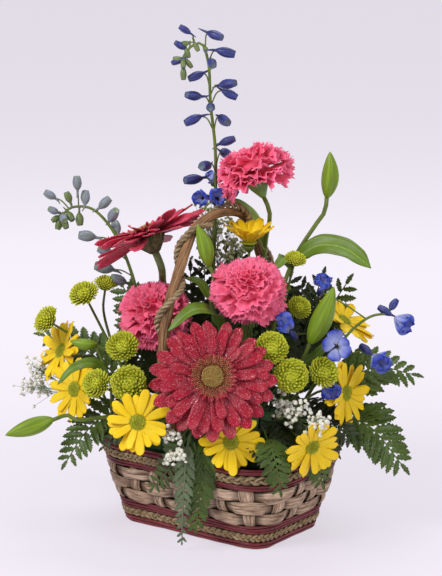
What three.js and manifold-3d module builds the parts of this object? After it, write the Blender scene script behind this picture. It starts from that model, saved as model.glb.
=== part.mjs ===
// A low woven basket with a fixed vine handle, holding a block of wet foam in a plastic tray,
// and an arrangement of cut flowers and fern fronds that stand in the foam.
//
// Millimetres, +Z up. X runs along the basket's long side and Y along its short side.
// The origin is the middle of the basket's underside, so everything rests on z = 0.
// The handle arches over the short way, in the plane X = 0.

import * as THREE from "three";
import Module from "manifold-3d";

const wasm = await Module();
wasm.setup();

// Driving dimensions

const GAP = 0.3; // clearance between neighbouring pieces
const THIN = 0.9; // thickness of petals and leaves along their middle
const SPECK = 1; // cubic millimetres, below which a loose crumb of a body is dropped

const BASKET_HEIGHT = 71; // top edge of the woven wall
const BASE_LONG = 146;
const BASE_SHORT = 88;
const BASE_CORNER = 14;
const RIM_LONG = 196;
const RIM_SHORT = 134;
const RIM_CORNER = 44;
const WALL_THICK = 3;
const STAKES = 16; // upright splints round the wall
const STATIONS = 2 * STAKES; // steps round the basket: one on each stake, one between
const WEAVE_LOW = 23;
const WEAVE_HIGH = 56;
const WEAVE_ROWS = 3;
const WEAVE_BULGE = 3.4;
const BASE_THICK = 3;

const HANDLE_TOP = 275.5;
const HANDLE_HALF_WIDTH = 4.6; // across the vine, along X
const HANDLE_HALF_THICK = 3.4; // in the plane of the arch
const WRAP_RADIUS = 2.1; // grass cord wound round the handle
const WRAP_TURNS = 7;

const TRAY_INSET = 12.2; // from the basket's outline to the tray's outside
const TRAY_WALL = 1.2;
const TRAY_TOP = 74;
const FOAM_TOP = 98;
const FOAM_INSET = TRAY_INSET + TRAY_WALL + 1.8; // more than the gap, as the corners twist
const FOOT_LIMIT = new THREE.Vector2(72, 42); // how far out a stem may enter the foam
const STEM_DEPTH = 16; // how deep a stem stands in the foam
const STEM_FOCUS = new THREE.Vector3(0, 0, -60); // stems fan out from below the foam

const GERBERA_RADIUS = 54;
const GERBERA_BORE = 3; // hole in the petals' hub for the disc's stalk
const CARNATION_RADIUS = 31;
const DAISY_RADIUS = 28.5;
const BUTTON_RADIUS = 13;

const FRONT_TURN = THREE.MathUtils.degToRad(36.8); // the arrangement's front, from the -Y side

// Looks

const look = (color, roughness) =>
  new THREE.MeshStandardMaterial({ color, roughness, metalness: 0 });
const LOOKS = {
  splint: look(0xaa8c69, 0.75),
  burgundy: look(0x6e2030, 0.55),
  braid: look(0x8a774a, 0.85),
  vine: look(0x8f6a45, 0.8),
  cord: look(0x857048, 0.85),
  tray: look(0x1f3324, 0.4),
  foam: look(0x3f5a3a, 0.95),
  gerbera: look(0xb51f3e, 0.5),
  carnation: look(0xf25a76, 0.6),
  daisy: look(0xf2d414, 0.5),
  button: look(0xadbe1c, 0.7),
  stem: look(0x557a35, 0.55),
  leaf: look(0x3f7a1e, 0.4),
  delphinium: look(0x3b4c9c, 0.5),
  fern: look(0x27502a, 0.45),
  breath: look(0xe2e0cc, 0.8),
  filler: look(0x6b6a3c, 0.8),
};

// Places and directions

/** A point given as the arrangement is seen from its front: right, away and up. */
function seen(right, away, up) {
  const cos = Math.cos(FRONT_TURN);
  const sin = Math.sin(FRONT_TURN);
  return new THREE.Vector3(right * cos - away * sin, right * sin + away * cos, up);
}

const lerp = THREE.MathUtils.lerp;
const facing = (right, away, up) => seen(right, away, up).normalize();
const polar = (radius, angle, z) =>
  new THREE.Vector3(radius * Math.cos(angle), radius * Math.sin(angle), z);
const along = (from, direction, distance) => from.clone().addScaledVector(direction, distance);
const range = (count) => Array.from({ length: count }, (_, index) => index);
const UP = new THREE.Vector3(0, 0, 1);

/** A repeatable uneven value from -1 to 1 for copy `index` and use `kind`. */
function uneven(index, kind) {
  const wave = Math.sin(index * 12.9898 + kind * 78.233) * 43758.5453;
  return 2 * (wave - Math.floor(wave)) - 1;
}

// Closed bodies

/** A solid from corner points and triangles that share them, turned to face outwards. */
function body(points, faces) {
  const volume = faces.reduce(
    (sum, [a, b, c]) => sum + points[a].dot(points[b].clone().cross(points[c])),
    0,
  );
  const outward = volume < 0 ? faces.map(([a, b, c]) => [a, c, b]) : faces;
  return new wasm.Manifold(
    new wasm.Mesh({
      numProp: 3,
      vertProperties: new Float32Array(points.flatMap((p) => p.toArray())),
      triVerts: new Uint32Array(outward.flat()),
    }),
  );
}

/** Joins rings of points in order. A ring may be one point. Open ends get flat caps. */
function loft(rings, closed = false) {
  const points = rings.flat();
  const starts = [];
  rings.reduce((start, ring) => starts.push(start) && start + ring.length, 0);
  const faces = [];
  const last = rings.length - 1;
  for (const k of range(closed ? rings.length : last)) {
    const next = (k + 1) % rings.length;
    const a = (i) => starts[k] + (i % rings[k].length);
    const b = (i) => starts[next] + (i % rings[next].length);
    for (const i of range(Math.max(rings[k].length, rings[next].length))) {
      if (rings[k].length > 1) faces.push([a(i), a(i + 1), b(i + 1)]);
      if (rings[next].length > 1) faces.push([a(i), b(i + 1), b(i)]);
    }
  }
  if (!closed) {
    for (const i of range(rings[0].length).slice(2)) faces.push([0, i, i - 1]);
    const end = starts[last];
    for (const i of range(rings[last].length).slice(2)) faces.push([end, end + i - 1, end + i]);
  }
  return body(points, faces);
}

/** A round ring with `sides` corners, square to `axis`. */
function ringAt(centre, axis, radius, sides) {
  const turn = new THREE.Quaternion().setFromUnitVectors(UP, axis);
  return range(sides).map((i) =>
    polar(radius, (2 * Math.PI * i) / sides, 0)
      .applyQuaternion(turn)
      .add(centre),
  );
}

/** A turned shape from [radius, z] pairs. A radius of 0 is a point on the axis. */
function lathe(profile, sides) {
  return loft(
    profile.map(([radius, z]) =>
      radius === 0 ? [new THREE.Vector3(0, 0, z)] : ringAt(new THREE.Vector3(0, 0, z), UP, radius, sides),
    ),
  );
}

/** Moves a solid that is modelled facing +Z to a place, to face along `axis`. */
function placed(solid, origin, axis, spin = 0) {
  const turn = new THREE.Quaternion()
    .setFromUnitVectors(UP, axis)
    .multiply(new THREE.Quaternion().setFromAxisAngle(UP, spin));
  const matrix = new THREE.Matrix4().compose(origin, turn, new THREE.Vector3(1, 1, 1));
  return solid.transform(matrix.elements);
}

/** Fuses solids into one body. Each of them has to touch another. */
function fused(solids) {
  const whole = wasm.Manifold.union(solids).simplify(0.05);
  const bodies = whole.decompose().sort((a, b) => b.volume() - a.volume());
  if (bodies.length > 1 && bodies[1].volume() > SPECK) {
    const { min } = bodies[1].boundingBox();
    throw new Error(`a part of this piece stands apart near ${min}`);
  }
  return bodies[0];
}

/** The solid with its surface moved outwards, used to cut a clearance round it. */
function grown(solid, distance) {
  const { vertProperties, triVerts } = solid.getMesh();
  const geometry = new THREE.BufferGeometry();
  geometry.setAttribute("position", new THREE.BufferAttribute(vertProperties.slice(), 3));
  geometry.setIndex(new THREE.BufferAttribute(triVerts.slice(), 1));
  geometry.computeVertexNormals();
  const position = geometry.getAttribute("position");
  const normal = geometry.getAttribute("normal");
  for (const i of range(position.count)) {
    position.setXYZ(
      i,
      position.getX(i) + normal.getX(i) * distance,
      position.getY(i) + normal.getY(i) * distance,
      position.getZ(i) + normal.getZ(i) * distance,
    );
  }
  return new wasm.Manifold(
    new wasm.Mesh({ numProp: 3, vertProperties: position.array, triVerts }),
  );
}

// Plant forms

/** A tapering tube along a smooth line through the points. */
function tube(points, startRadius, endRadius, sides, steps) {
  const curve = new THREE.CatmullRomCurve3(points, false, "centripetal");
  return loft(
    range(steps + 1).map((k) => {
      const share = k / steps;
      const radius = lerp(startRadius, endRadius, share);
      return ringAt(curve.getPointAt(share), curve.getTangentAt(share), radius, sides);
    }),
  );
}

/**
 * A leaf along a smooth line: three-sided rings with a raised middle rib and thin edges.
 * widths are half widths from root to tip, face is the side that looks out.
 */
function leaf(points, widths, face, thickness = THIN) {
  const curve = new THREE.CatmullRomCurve3(points, false, "centripetal");
  const rings = widths.map((halfWidth, k) => {
    const share = k / widths.length;
    const centre = curve.getPointAt(share);
    const side = curve.getTangentAt(share).cross(face).normalize();
    const out = side.clone().cross(curve.getTangentAt(share)).normalize();
    return [
      along(centre, side, -halfWidth),
      along(centre, out, thickness),
      along(centre, side, halfWidth),
      along(centre, out, -thickness * 0.4),
    ];
  });
  return loft([...rings, [curve.getPointAt(1)]]);
}

/** A pointed bud from base to tip. */
function bud(base, tip, radius, sides = 5) {
  const axis = tip.clone().sub(base).normalize();
  const at = (share, scale) =>
    ringAt(base.clone().lerp(tip, share), axis, radius * scale, sides);
  return loft([[base.clone()], at(0.3, 0.95), at(0.72, 0.85), [tip.clone()]]);
}

/** A bud with its stalk, from where the stalk leaves the stem to the bud's tip. */
function stalkedBud(root, base, tip, stalkRadius, radius, sides) {
  const stalk = base.clone().sub(root).normalize();
  const axis = tip.clone().sub(base).normalize();
  return loft([
    ringAt(root, stalk, stalkRadius, sides),
    ringAt(base, axis, stalkRadius, sides),
    ringAt(base.clone().lerp(tip, 0.45), axis, radius, sides),
    [tip.clone()],
  ]);
}

/**
 * Grows a petal or leaflet out of a four-cornered face, as part of the same body.
 * root lists the face's corners: top right, top left, bottom right and bottom left as the petal
 * points away. stations are right, left and keel points from root to tip, edge lists the points
 * of the far edge from right to left, and crest is a raised point behind an edge with teeth.
 */
function sprout(faces, add, root, { stations, crest, edge }) {
  let [right, left] = root;
  const [, , bottomRight, bottomLeft] = root;
  let keel = null;
  for (const station of stations) {
    const [nextRight, nextLeft, nextKeel] = station.map(add);
    faces.push([right, nextRight, nextLeft], [right, nextLeft, left]);
    if (keel === null) {
      faces.push([right, nextKeel, nextRight], [right, bottomRight, nextKeel]);
      faces.push([left, nextLeft, nextKeel], [left, nextKeel, bottomLeft]);
      faces.push([bottomRight, bottomLeft, nextKeel]);
    } else {
      faces.push([right, keel, nextKeel], [right, nextKeel, nextRight]);
      faces.push([left, nextLeft, nextKeel], [left, nextKeel, keel]);
    }
    [right, left, keel] = [nextRight, nextLeft, nextKeel];
  }
  const rim = [right, ...edge.map(add), left];
  const middle = crest ? add(crest) : null;
  faces.push(crest ? [middle, left, right] : [right, rim[1], left]);
  for (const k of range(rim.length - 1)) {
    if (crest) faces.push([middle, rim[k], rim[k + 1]]);
    faces.push([keel, rim[k + 1], rim[k]]);
  }
}

/**
 * A flat hub with a petal growing out of each of its sides, as one closed body facing +Z.
 * petal(index, at) gives each petal's form, and at(distance, side, z) is a point beside the
 * petal's middle line.
 */
function crown({ count, radius, low, high, hole = 0, petal }) {
  const points = [];
  const faces = [];
  const add = (point) => points.push(point) - 1;
  const ring = (size, z, corners) =>
    range(corners).map((i) => add(polar(size, (2 * Math.PI * i) / corners, z)));
  const top = ring(radius, high, count);
  const bottom = ring(radius, low, count);
  for (const i of range(count)) {
    const next = (i + 1) % count;
    const middle = (2 * Math.PI * (i + 0.5)) / count;
    const sideways = polar(1, middle + Math.PI / 2, 0);
    const at = (distance, side, z) => along(polar(distance, middle, z), sideways, side);
    sprout(faces, add, [top[i], top[next], bottom[i], bottom[next]], petal(i, at));
  }
  if (hole > 0) {
    const half = count / 2;
    const innerTop = ring(hole, high, half);
    const innerBottom = ring(hole, low, half);
    for (const p of range(half)) {
      const q = (p + 1) % half;
      const [first, second, third] = [2 * p, 2 * p + 1, (2 * p + 2) % count];
      faces.push([top[first], top[second], innerTop[p]]);
      faces.push([top[second], innerTop[q], innerTop[p]]);
      faces.push([top[second], top[third], innerTop[q]]);
      faces.push([bottom[first], innerBottom[p], bottom[second]]);
      faces.push([bottom[second], innerBottom[p], innerBottom[q]]);
      faces.push([bottom[second], innerBottom[q], bottom[third]]);
      faces.push([innerTop[p], innerTop[q], innerBottom[q]]);
      faces.push([innerTop[p], innerBottom[q], innerBottom[p]]);
    }
  } else {
    for (const i of range(count - 1).slice(1)) {
      faces.push([top[0], top[i], top[i + 1]], [bottom[0], bottom[i + 1], bottom[i]]);
    }
  }
  return body(points, faces);
}

/** A smooth petal with a round tip for a crown: width and rise are functions of the distance. */
function smoothPetal(at, start, reach, halfWidth, rise, shares) {
  const stations = shares.map((share) => {
    const distance = lerp(start, reach, share);
    const z = rise(distance);
    return [
      at(distance, -halfWidth(share), z),
      at(distance, halfWidth(share), z),
      at(distance, 0, z - THIN),
    ];
  });
  return { stations, edge: [at(reach, 0, rise(reach))] };
}

// Stems in the foam

const sockets = [];

/** Finds where a stem towards `target` enters the foam, and leaves a plain hole for it. */
function plant(target, radius, sides) {
  const ray = target.clone().sub(STEM_FOCUS);
  const foot = along(STEM_FOCUS, ray, (FOAM_TOP - STEM_FOCUS.z) / ray.z);
  const shrink = Math.min(
    1,
    FOOT_LIMIT.x / Math.abs(foot.x),
    FOOT_LIMIT.y / Math.abs(foot.y),
  );
  foot.x *= shrink;
  foot.y *= shrink;
  const lean = target.clone().sub(foot).normalize().add(new THREE.Vector3(0, 0, 0.7)).normalize();
  const hole = (distance) => ringAt(along(foot, lean, distance), lean, radius + 1.5 * GAP, sides);
  sockets.push(loft([hole(-STEM_DEPTH - 2 * GAP), hole(3 * radius + 4)]));
  return { foot, lean };
}

/** A stem from the foam to `base`, arriving along `axis`. `way` lists points that it passes. */
function stem(base, axis, way, radius, sides = 5, steps = 5) {
  const { foot, lean } = plant(way[0] ?? base, radius, sides);
  const approach = along(base, axis, -14);
  const curve = new THREE.CatmullRomCurve3(
    [foot, along(foot, lean, 12), ...way, approach, base],
    false,
    "centripetal",
  );
  const rings = range(steps).map((k) => {
    const share = (k + 1) / steps;
    const tangent = k + 1 === steps ? axis : curve.getTangentAt(share);
    return ringAt(curve.getPointAt(share), tangent, radius, sides);
  });
  return loft([
    ringAt(along(foot, lean, -STEM_DEPTH), lean, radius, sides),
    ringAt(foot, lean, radius, sides),
    ...rings,
  ]);
}

/** The main stem of a spray, from the foam to the fork, and the direction it has there. */
function mainStem(fork, radius, sides = 4) {
  const { foot, lean } = plant(fork, radius, sides);
  const curve = new THREE.CatmullRomCurve3([foot, along(foot, lean, 10), fork], false, "centripetal");
  const axis = curve.getTangentAt(1);
  const solid = loft([
    ringAt(along(foot, lean, -STEM_DEPTH), lean, radius, sides),
    ringAt(foot, lean, radius, sides),
    ringAt(curve.getPointAt(0.5), curve.getTangentAt(0.5), radius, sides),
    ringAt(fork, axis, radius, sides),
  ]);
  return { solid, axis };
}

/** A side branch that leaves a fork and arrives at `base` along `axis`. */
function branch(fork, base, axis, radius, steps = 3, sides = 3) {
  const apart = fork.distanceTo(base);
  const start = along(fork, UP, -radius);
  return tube([start, along(base, axis, -0.35 * apart), base], radius, radius, sides, steps);
}

// The basket

/** The rounded outline's half sizes and corner at a height, moved outwards by `out`. */
function outlineAt(height, out) {
  const share = height / BASKET_HEIGHT;
  return {
    halfLong: lerp(BASE_LONG, RIM_LONG, share) / 2 + out,
    halfShort: lerp(BASE_SHORT, RIM_SHORT, share) / 2 + out,
    corner: lerp(BASE_CORNER, RIM_CORNER, share) + out,
  };
}

/** A point on the basket's outline, a share of the way round from the middle of the front. */
function basketPoint(share, height, out, z = height) {
  const { halfLong, halfShort, corner } = outlineAt(height, out);
  const middle = outlineAt(BASKET_HEIGHT / 2, 0);
  const arc = (Math.PI / 2) * middle.corner;
  const flatLong = 2 * (middle.halfLong - middle.corner);
  const flatShort = 2 * (middle.halfShort - middle.corner);
  const pieces = [flatLong / 2, arc, flatShort, arc, flatLong, arc, flatShort, arc, flatLong / 2];
  const around = pieces.reduce((sum, piece) => sum + piece, 0);
  let distance = (share - Math.floor(share)) * around;
  let index = 0;
  while (index < pieces.length - 1 && distance > pieces[index]) distance -= pieces[index++];
  const part = distance / pieces[index];
  const a = halfLong - corner;
  const b = halfShort - corner;
  const quarter = Math.PI / 2;
  const arcPoint = (x, y, from) => {
    const angle = from + part * quarter;
    return new THREE.Vector3(x + corner * Math.cos(angle), y + corner * Math.sin(angle), z);
  };
  const flat = (x0, y0, x1, y1) => new THREE.Vector3(lerp(x0, x1, part), lerp(y0, y1, part), z);
  return [
    () => flat(0, -halfShort, a, -halfShort),
    () => arcPoint(a, -b, -quarter),
    () => flat(halfLong, -b, halfLong, b),
    () => arcPoint(a, b, 0),
    () => flat(a, halfShort, -a, halfShort),
    () => arcPoint(-a, b, quarter),
    () => flat(-halfLong, b, -halfLong, -b),
    () => arcPoint(-a, -b, 2 * quarter),
    () => flat(-a, -halfShort, 0, -halfShort),
  ][index]();
}

/** One loop round the basket. out and height may change from station to station. */
function loop(height, out, stations = STATIONS) {
  return range(stations).map((i) => {
    const z = typeof height === "function" ? height(i) : height;
    return basketPoint(i / stations, z, typeof out === "function" ? out(i) : out);
  });
}

/** The woven wall: weavers that pass over and under the upright stakes, row by row. */
function basketWall() {
  const rowHeight = (WEAVE_HIGH - WEAVE_LOW) / WEAVE_ROWS;
  const weave = range(WEAVE_ROWS).flatMap((row) => {
    const low = WEAVE_LOW + row * rowHeight;
    const bulge = (i) => {
      if (i % 2 === 1) return 0.45 * WEAVE_BULGE;
      return (i / 2 + row) % 2 === 0 ? WEAVE_BULGE : 0.1 * WEAVE_BULGE;
    };
    return [loop(low + 0.5 * rowHeight, bulge), loop(low + rowHeight, 0)];
  });
  return loft(
    [
      loop(0, -WALL_THICK),
      loop(0, 0),
      loop(WEAVE_LOW, 0),
      ...weave,
      loop(BASKET_HEIGHT, 0),
      loop(BASKET_HEIGHT, -WALL_THICK),
    ],
    true,
  );
}

/** Reeds laid side by side round the basket, from z = low up, each `size` high. */
function reeds(low, size, count, thick) {
  const inner = 1.2 * GAP;
  const rings = [loop(low, inner)];
  for (const k of range(count)) {
    rings.push(loop(low + (k + 0.5) * size, inner + thick));
    if (k < count - 1) rings.push(loop(low + (k + 1) * size, inner + 0.55 * thick));
  }
  return loft([...rings, loop(low + count * size, inner)], true);
}

/** A plaited band: its fat part swaps between the upper and the lower edge at each station. */
function braid(low, high, thick) {
  const inner = 1.2 * GAP;
  const swap = (fat, slim) => (i) => inner + (i % 2 === 0 ? fat : slim);
  return loft(
    [
      loop(low, inner),
      loop(lerp(low, high, 0.25), swap(thick, 0.45 * thick)),
      loop(lerp(low, high, 0.75), swap(0.45 * thick, thick)),
      loop(high, inner),
    ],
    true,
  );
}

/** The stout reed that caps the wall's top edge. */
function rimBand() {
  const low = BASKET_HEIGHT + GAP;
  return loft(
    [
      loop(low, -WALL_THICK - 1),
      loop(low, 3),
      loop(low + 3.2, 3.6),
      loop(low + 5.4, 0),
      loop(low + 3.2, -WALL_THICK - 1.8),
    ],
    true,
  );
}

/** The flat woven bottom, which sits inside the foot of the wall. */
function basketBase() {
  const inset = -WALL_THICK - GAP;
  const top = range(STATIONS).map((i) => basketPoint(i / STATIONS, 0, inset, BASE_THICK));
  return loft([loop(0, inset), top]);
}

/** The arch's centre line from the front foot to the back foot, inside the wall at both ends. */
function handlePoints() {
  const front = [
    [-47.8, 34],
    [-58.3, 66],
    [-65, 92],
    [-75, 130],
    [-79.5, 165],
    [-76, 192],
    [-65, 221],
    [-50, 247],
    [-37, 266],
    [-22, 273],
  ];
  const points = front.map(([y, z]) => new THREE.Vector3(0, y, z));
  const back = points.map((point) => new THREE.Vector3(0, -point.y, point.z)).reverse();
  return [...points, new THREE.Vector3(0, 0, HANDLE_TOP), ...back];
}

const handleCurve = new THREE.CatmullRomCurve3(handlePoints(), false, "centripetal");
const ACROSS = new THREE.Vector3(1, 0, 0);

/** A point beside the handle's centre line, at an angle round it. */
function besideHandle(share, angle, alongX, inPlane) {
  const out = handleCurve.getTangentAt(share).clone().cross(ACROSS).normalize();
  return handleCurve
    .getPointAt(share)
    .addScaledVector(ACROSS, alongX * Math.cos(angle))
    .addScaledVector(out, inPlane * Math.sin(angle));
}

/** The flattened vine that makes the arch. */
function handleCore() {
  const steps = 20;
  const sides = 6;
  return loft(
    range(steps + 1).map((k) =>
      range(sides).map((i) => {
        const angle = (2 * Math.PI * i) / sides;
        return besideHandle(k / steps, angle, HANDLE_HALF_WIDTH, HANDLE_HALF_THICK);
      }),
    ),
  );
}

/** The grass cord wound round the vine, clear of it, from above the rim to above the rim. */
function handleWrap() {
  const start = 0.115;
  const steps = WRAP_TURNS * 8;
  const clear = WRAP_RADIUS + 2;
  const centre = (k) => {
    const share = lerp(start, 1 - start, k / steps);
    const angle = (2 * Math.PI * WRAP_TURNS * k) / steps;
    return besideHandle(share, angle, HANDLE_HALF_WIDTH + clear, HANDLE_HALF_THICK + clear);
  };
  const rings = range(steps + 1).map((k) => {
    const before = centre(Math.max(k - 1, 0));
    const after = centre(Math.min(k + 1, steps));
    const tangent = after.sub(before).normalize();
    const side = tangent.clone().cross(ACROSS).normalize();
    const out = side.clone().cross(tangent).normalize();
    return range(3).map((i) => {
      const angle = (2 * Math.PI * i) / 3;
      return along(
        along(centre(k), side, WRAP_RADIUS * Math.cos(angle)),
        out,
        WRAP_RADIUS * Math.sin(angle),
      );
    });
  });
  return loft(rings);
}

/** The thin plastic tray that keeps the wet foam off the weave. */
function tray() {
  const stations = 20;
  const floor = BASE_THICK + GAP;
  const side = (z, inset) => range(stations).map((i) => basketPoint(i / stations, z, -inset));
  return loft([
    side(floor, TRAY_INSET),
    side(TRAY_TOP, TRAY_INSET),
    side(TRAY_TOP, TRAY_INSET + TRAY_WALL),
    side(floor + TRAY_WALL, TRAY_INSET + TRAY_WALL),
  ]);
}

/** The foam block, with a plain hole for each stem. */
function foam() {
  const stations = 20;
  const ring = (height, inset, z) =>
    range(stations).map((i) => basketPoint(i / stations, height, -inset, z));
  const bottom = BASE_THICK + TRAY_WALL + 2 * GAP;
  const block = loft([
    ring(bottom, FOAM_INSET, bottom),
    ring(TRAY_TOP, FOAM_INSET, TRAY_TOP),
    ring(TRAY_TOP, FOAM_INSET + 1, FOAM_TOP - 4),
    ring(TRAY_TOP, FOAM_INSET + 5, FOAM_TOP),
  ]);
  return block.subtract(wasm.Manifold.union(sockets));
}

// Flowers

/** A gerbera: two layers of long ray petals round a fringe of short ones. */
function gerberaPetals() {
  const layer = (low, reach, slope, droop, turn) => {
    const count = 15;
    const hub = 11;
    const rise = (distance) => {
      const out = distance - hub;
      return low + 1.3 + slope * out - droop * out * out;
    };
    const width = (share) => (share < 0.5 ? 4.2 : 5);
    const petals = crown({
      count,
      radius: hub,
      low,
      high: low + 1.3,
      petal: (i, at) => {
        const length = reach * (1 + 0.03 * uneven(i, low));
        return smoothPetal(at, hub, length, width, rise, [0.38, 0.82]);
      },
    });
    return petals.rotate([0, 0, turn]);
  };
  const fringe = crown({
    count: 10,
    radius: 10,
    low: 1.4,
    high: 2.6,
    petal: (i, at) =>
      smoothPetal(at, 10, 20 + 2 * uneven(i, 5), () => 2.6, (r) => 2.6 + 0.3 * (r - 10), [0.7]),
  });
  const outer = layer(-3.2, GERBERA_RADIUS, 0.02, 0.0012, 0);
  const inner = layer(-0.9, GERBERA_RADIUS * 0.88, 0.09, 0.0006, 10);
  const hub = lathe([[9, -3.1], [9, 1.6]], 9);
  const bore = lathe([[GERBERA_BORE, -4], [GERBERA_BORE, 3]], 6);
  return fused([outer, inner, fringe, hub]).subtract(bore);
}

/** The gerbera's raised disc with a knobbly edge, on a short stalk that passes the petals. */
function gerberaDisc() {
  const count = 14;
  const knobbly = (radius, z) =>
    range(count).map((i) => polar(radius * (i % 2 ? 0.88 : 1), (2 * Math.PI * i) / count, z));
  const disc = loft([
    knobbly(8.6, 2.6 + GAP),
    knobbly(9.6, 5),
    knobbly(6, 6.6),
    [new THREE.Vector3(0, 0, 6.2)],
  ]);
  const stalk = lathe([[GERBERA_BORE - 2 * GAP, -5], [GERBERA_BORE - 2 * GAP, 4]], 6);
  return [disc, stalk];
}

/** A head's green cup under its petals, ending `depth` below the hub. */
function calyx(top, radius, depth, neck, sides = 6) {
  return lathe(
    [
      [neck, top - depth],
      [0.8 * radius, top - 0.55 * depth],
      [radius, top - 0.15 * depth],
      [0.9 * radius, top],
    ],
    sides,
  );
}

/** A carnation: tiers of fan petals with toothed edges, from flat below to upright inside. */
function carnationPetals() {
  const tiers = [
    { count: 7, z: -9, reach: 1.0, tilt: -6, teeth: 5 },
    { count: 7, z: -4, reach: 1.0, tilt: 17, teeth: 5 },
    { count: 6, z: 1.5, reach: 0.82, tilt: 38, teeth: 3 },
    { count: 5, z: 7, reach: 0.52, tilt: 58, teeth: 3 },
  ];
  const solids = tiers.map(({ count, z, reach, tilt, teeth }, tier) => {
    const hub = 6.4 - 0.7 * tier;
    const angle = THREE.MathUtils.degToRad(tilt);
    const spread = (0.94 * Math.PI) / count;
    const petals = crown({
      count,
      radius: hub,
      low: z,
      high: z + 1.4,
      petal: (i, at) => {
        const length = CARNATION_RADIUS * reach * (1 + 0.05 * uneven(i, tier));
        const point = (share, fan, lift) => {
          const run = share * (length - hub);
          const distance = hub + run * Math.cos(angle);
          const side = Math.tan(spread * fan) * distance;
          return at(distance, side, z + 1.4 + run * Math.sin(angle) + lift);
        };
        const keel = point(0.6, 0, 0);
        keel.z -= THIN;
        const edge = range(teeth).map((k) => {
          const fan = (2 * (k + 0.5)) / teeth - 1;
          const tooth = k % 2 === teeth % 2;
          return point(tooth ? 0.86 : 1, 0.95 * fan, 1.6 * Math.sin(2.4 * k + i));
        });
        return {
          stations: [[point(0.6, -0.92, 0.4), point(0.6, 0.92, -0.4), keel]],
          crest: point(0.72, 0, 0.9),
          edge,
        };
      },
    });
    return petals.rotate([0, 0, 47 * tier]);
  });
  const core = lathe([[3, -8.6], [2.6, 7.6]], 5);
  return fused([core, ...solids]);
}

/** A yellow daisy's ring of petals, open in the middle for the disc's stalk. */
function daisyPetals(cup) {
  const hub = 6.4;
  const length = (DAISY_RADIUS - hub) / Math.hypot(1, cup); // seen from above
  return crown({
    count: 12,
    radius: hub,
    hole: 2.5,
    low: -1.3,
    high: 0,
    petal: (i, at) => {
      const reach = hub + length * (1 + 0.09 * uneven(i, 2));
      const lift = 0.07 * (i % 2 === 0 ? 1 : -1);
      const rise = (distance) => (cup + lift) * (distance - hub);
      return smoothPetal(at, hub, reach, () => 4.1, rise, [0.62]);
    },
  });
}

/** The daisy's domed disc, its stalk through the petals and its green cup. */
function daisyDisc() {
  return lathe(
    [
      [1.2, -7],
      [4.4, -1.3 - GAP],
      [1.8, -1.3 - GAP],
      [1.8, GAP],
      [5.6, GAP],
      [4.6, 2.4],
      [0, 3.6],
    ],
    5,
  );
}

/** A button bloom: a dome of short petals, shown by rings of points that stand out in turn. */
function buttonHead(radius) {
  const count = 10;
  const ring = (scale, z, turn) =>
    range(count).map((i) => {
      const out = (i + turn) % 2 === 0 ? 1 : 0.82;
      return polar(radius * scale * out, (2 * Math.PI * i) / count, radius * z);
    });
  return loft([
    [new THREE.Vector3(0, 0, -0.5 * radius)],
    ring(0.95, -0.2, 0),
    ring(1.02, 0.25, 1),
    ring(0.62, 0.66, 0),
    [new THREE.Vector3(0, 0, 0.7 * radius)],
  ]);
}

/** An open delphinium floret: five broad sepals and a spur behind. */
function delphiniumFloret(radius) {
  const sepals = crown({
    count: 5,
    radius: 2.6,
    low: -1.4,
    high: 0,
    petal: (i, at) =>
      smoothPetal(at, 2.6, radius, () => 0.44 * radius, (r) => 0.8 * (r - 2.6), [0.6]),
  });
  const spur = lathe([[0, -0.9 * radius], [1.6, -3], [2.2, -0.6]], 4);
  return fused([sepals, spur]);
}

// Sprays: what grows on one stem is one piece

const SMALL_STEM = 1.2;

/** Daisy heads on one branching stem. Each head is { at, face, cup }. */
function daisySpray(fork, heads) {
  const greens = heads.map(({ at, face }) =>
    fused([
      placed(daisyDisc(), at, face),
      branch(fork, along(at, face, -6.5), face, SMALL_STEM),
    ]),
  );
  return fused([mainStem(fork, 1.7).solid, ...greens]);
}

/** Button blooms on one branching stem. Each head is { at, face, size }. */
function buttonSpray(fork, heads) {
  const blooms = heads.flatMap(({ at, face, size = 1 }) => [
    placed(buttonHead(BUTTON_RADIUS * size), at, face, at.x),
    branch(fork, along(at, face, -0.4 * BUTTON_RADIUS * size), face, SMALL_STEM),
  ]);
  return fused([mainStem(fork, 1.7).solid, ...blooms]);
}

/**
 * Delphinium buds and florets on one stem. buds are [tip, length] and florets
 * [place, face, size]. plump is a bud's radius for its length, and droop how much it nods.
 */
function delphiniumSpike(line, buds, florets, plump, droop) {
  const { foot, lean } = plant(line[0], 1.9, 4);
  const curve = new THREE.CatmullRomCurve3([foot, along(foot, lean, 12), ...line], false, "centripetal");
  const steps = 12;
  const shares = range(steps).map((k) => 1 - (1 - (k + 1) / steps) ** 1.4); // closer at the curl
  const joints = shares.map((share) => curve.getPointAt(share));
  const spine = loft([
    ringAt(along(foot, lean, -STEM_DEPTH), lean, 1.9, 4),
    ringAt(foot, lean, 1.9, 4),
    ...shares.map((share, k) =>
      ringAt(joints[k], curve.getTangentAt(share), lerp(1.9, 0.8, share), 4),
    ),
  ]);
  const samples = joints.slice(1).flatMap((end, k) =>
    range(8).map((i) => joints[k].clone().lerp(end, (i + 1) / 8)),
  );
  const nearest = (point) => {
    const reach = (sample) => sample.distanceTo(point) + 0.9 * Math.abs(sample.z - (point.z - 11));
    return samples.reduce((best, sample) => (reach(sample) < reach(best) ? sample : best));
  };
  const stalk = (point) => tube([nearest(point), point], 0.7, 0.7, 3, 1);
  const budSolids = buds.map(([tip, length]) => {
    const root = nearest(tip);
    const out = along(tip.clone().sub(root).normalize(), UP, -droop).normalize();
    const base = along(tip, out, -length);
    return stalkedBud(root, base, tip, 0.7, plump * length, 4);
  });
  const floretSolids = florets.flatMap(([at, face, size]) => [
    placed(delphiniumFloret(size), at, face),
    stalk(along(at, face, -2)),
  ]);
  return fused([spine, ...budSolids, ...floretSolids]);
}

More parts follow.
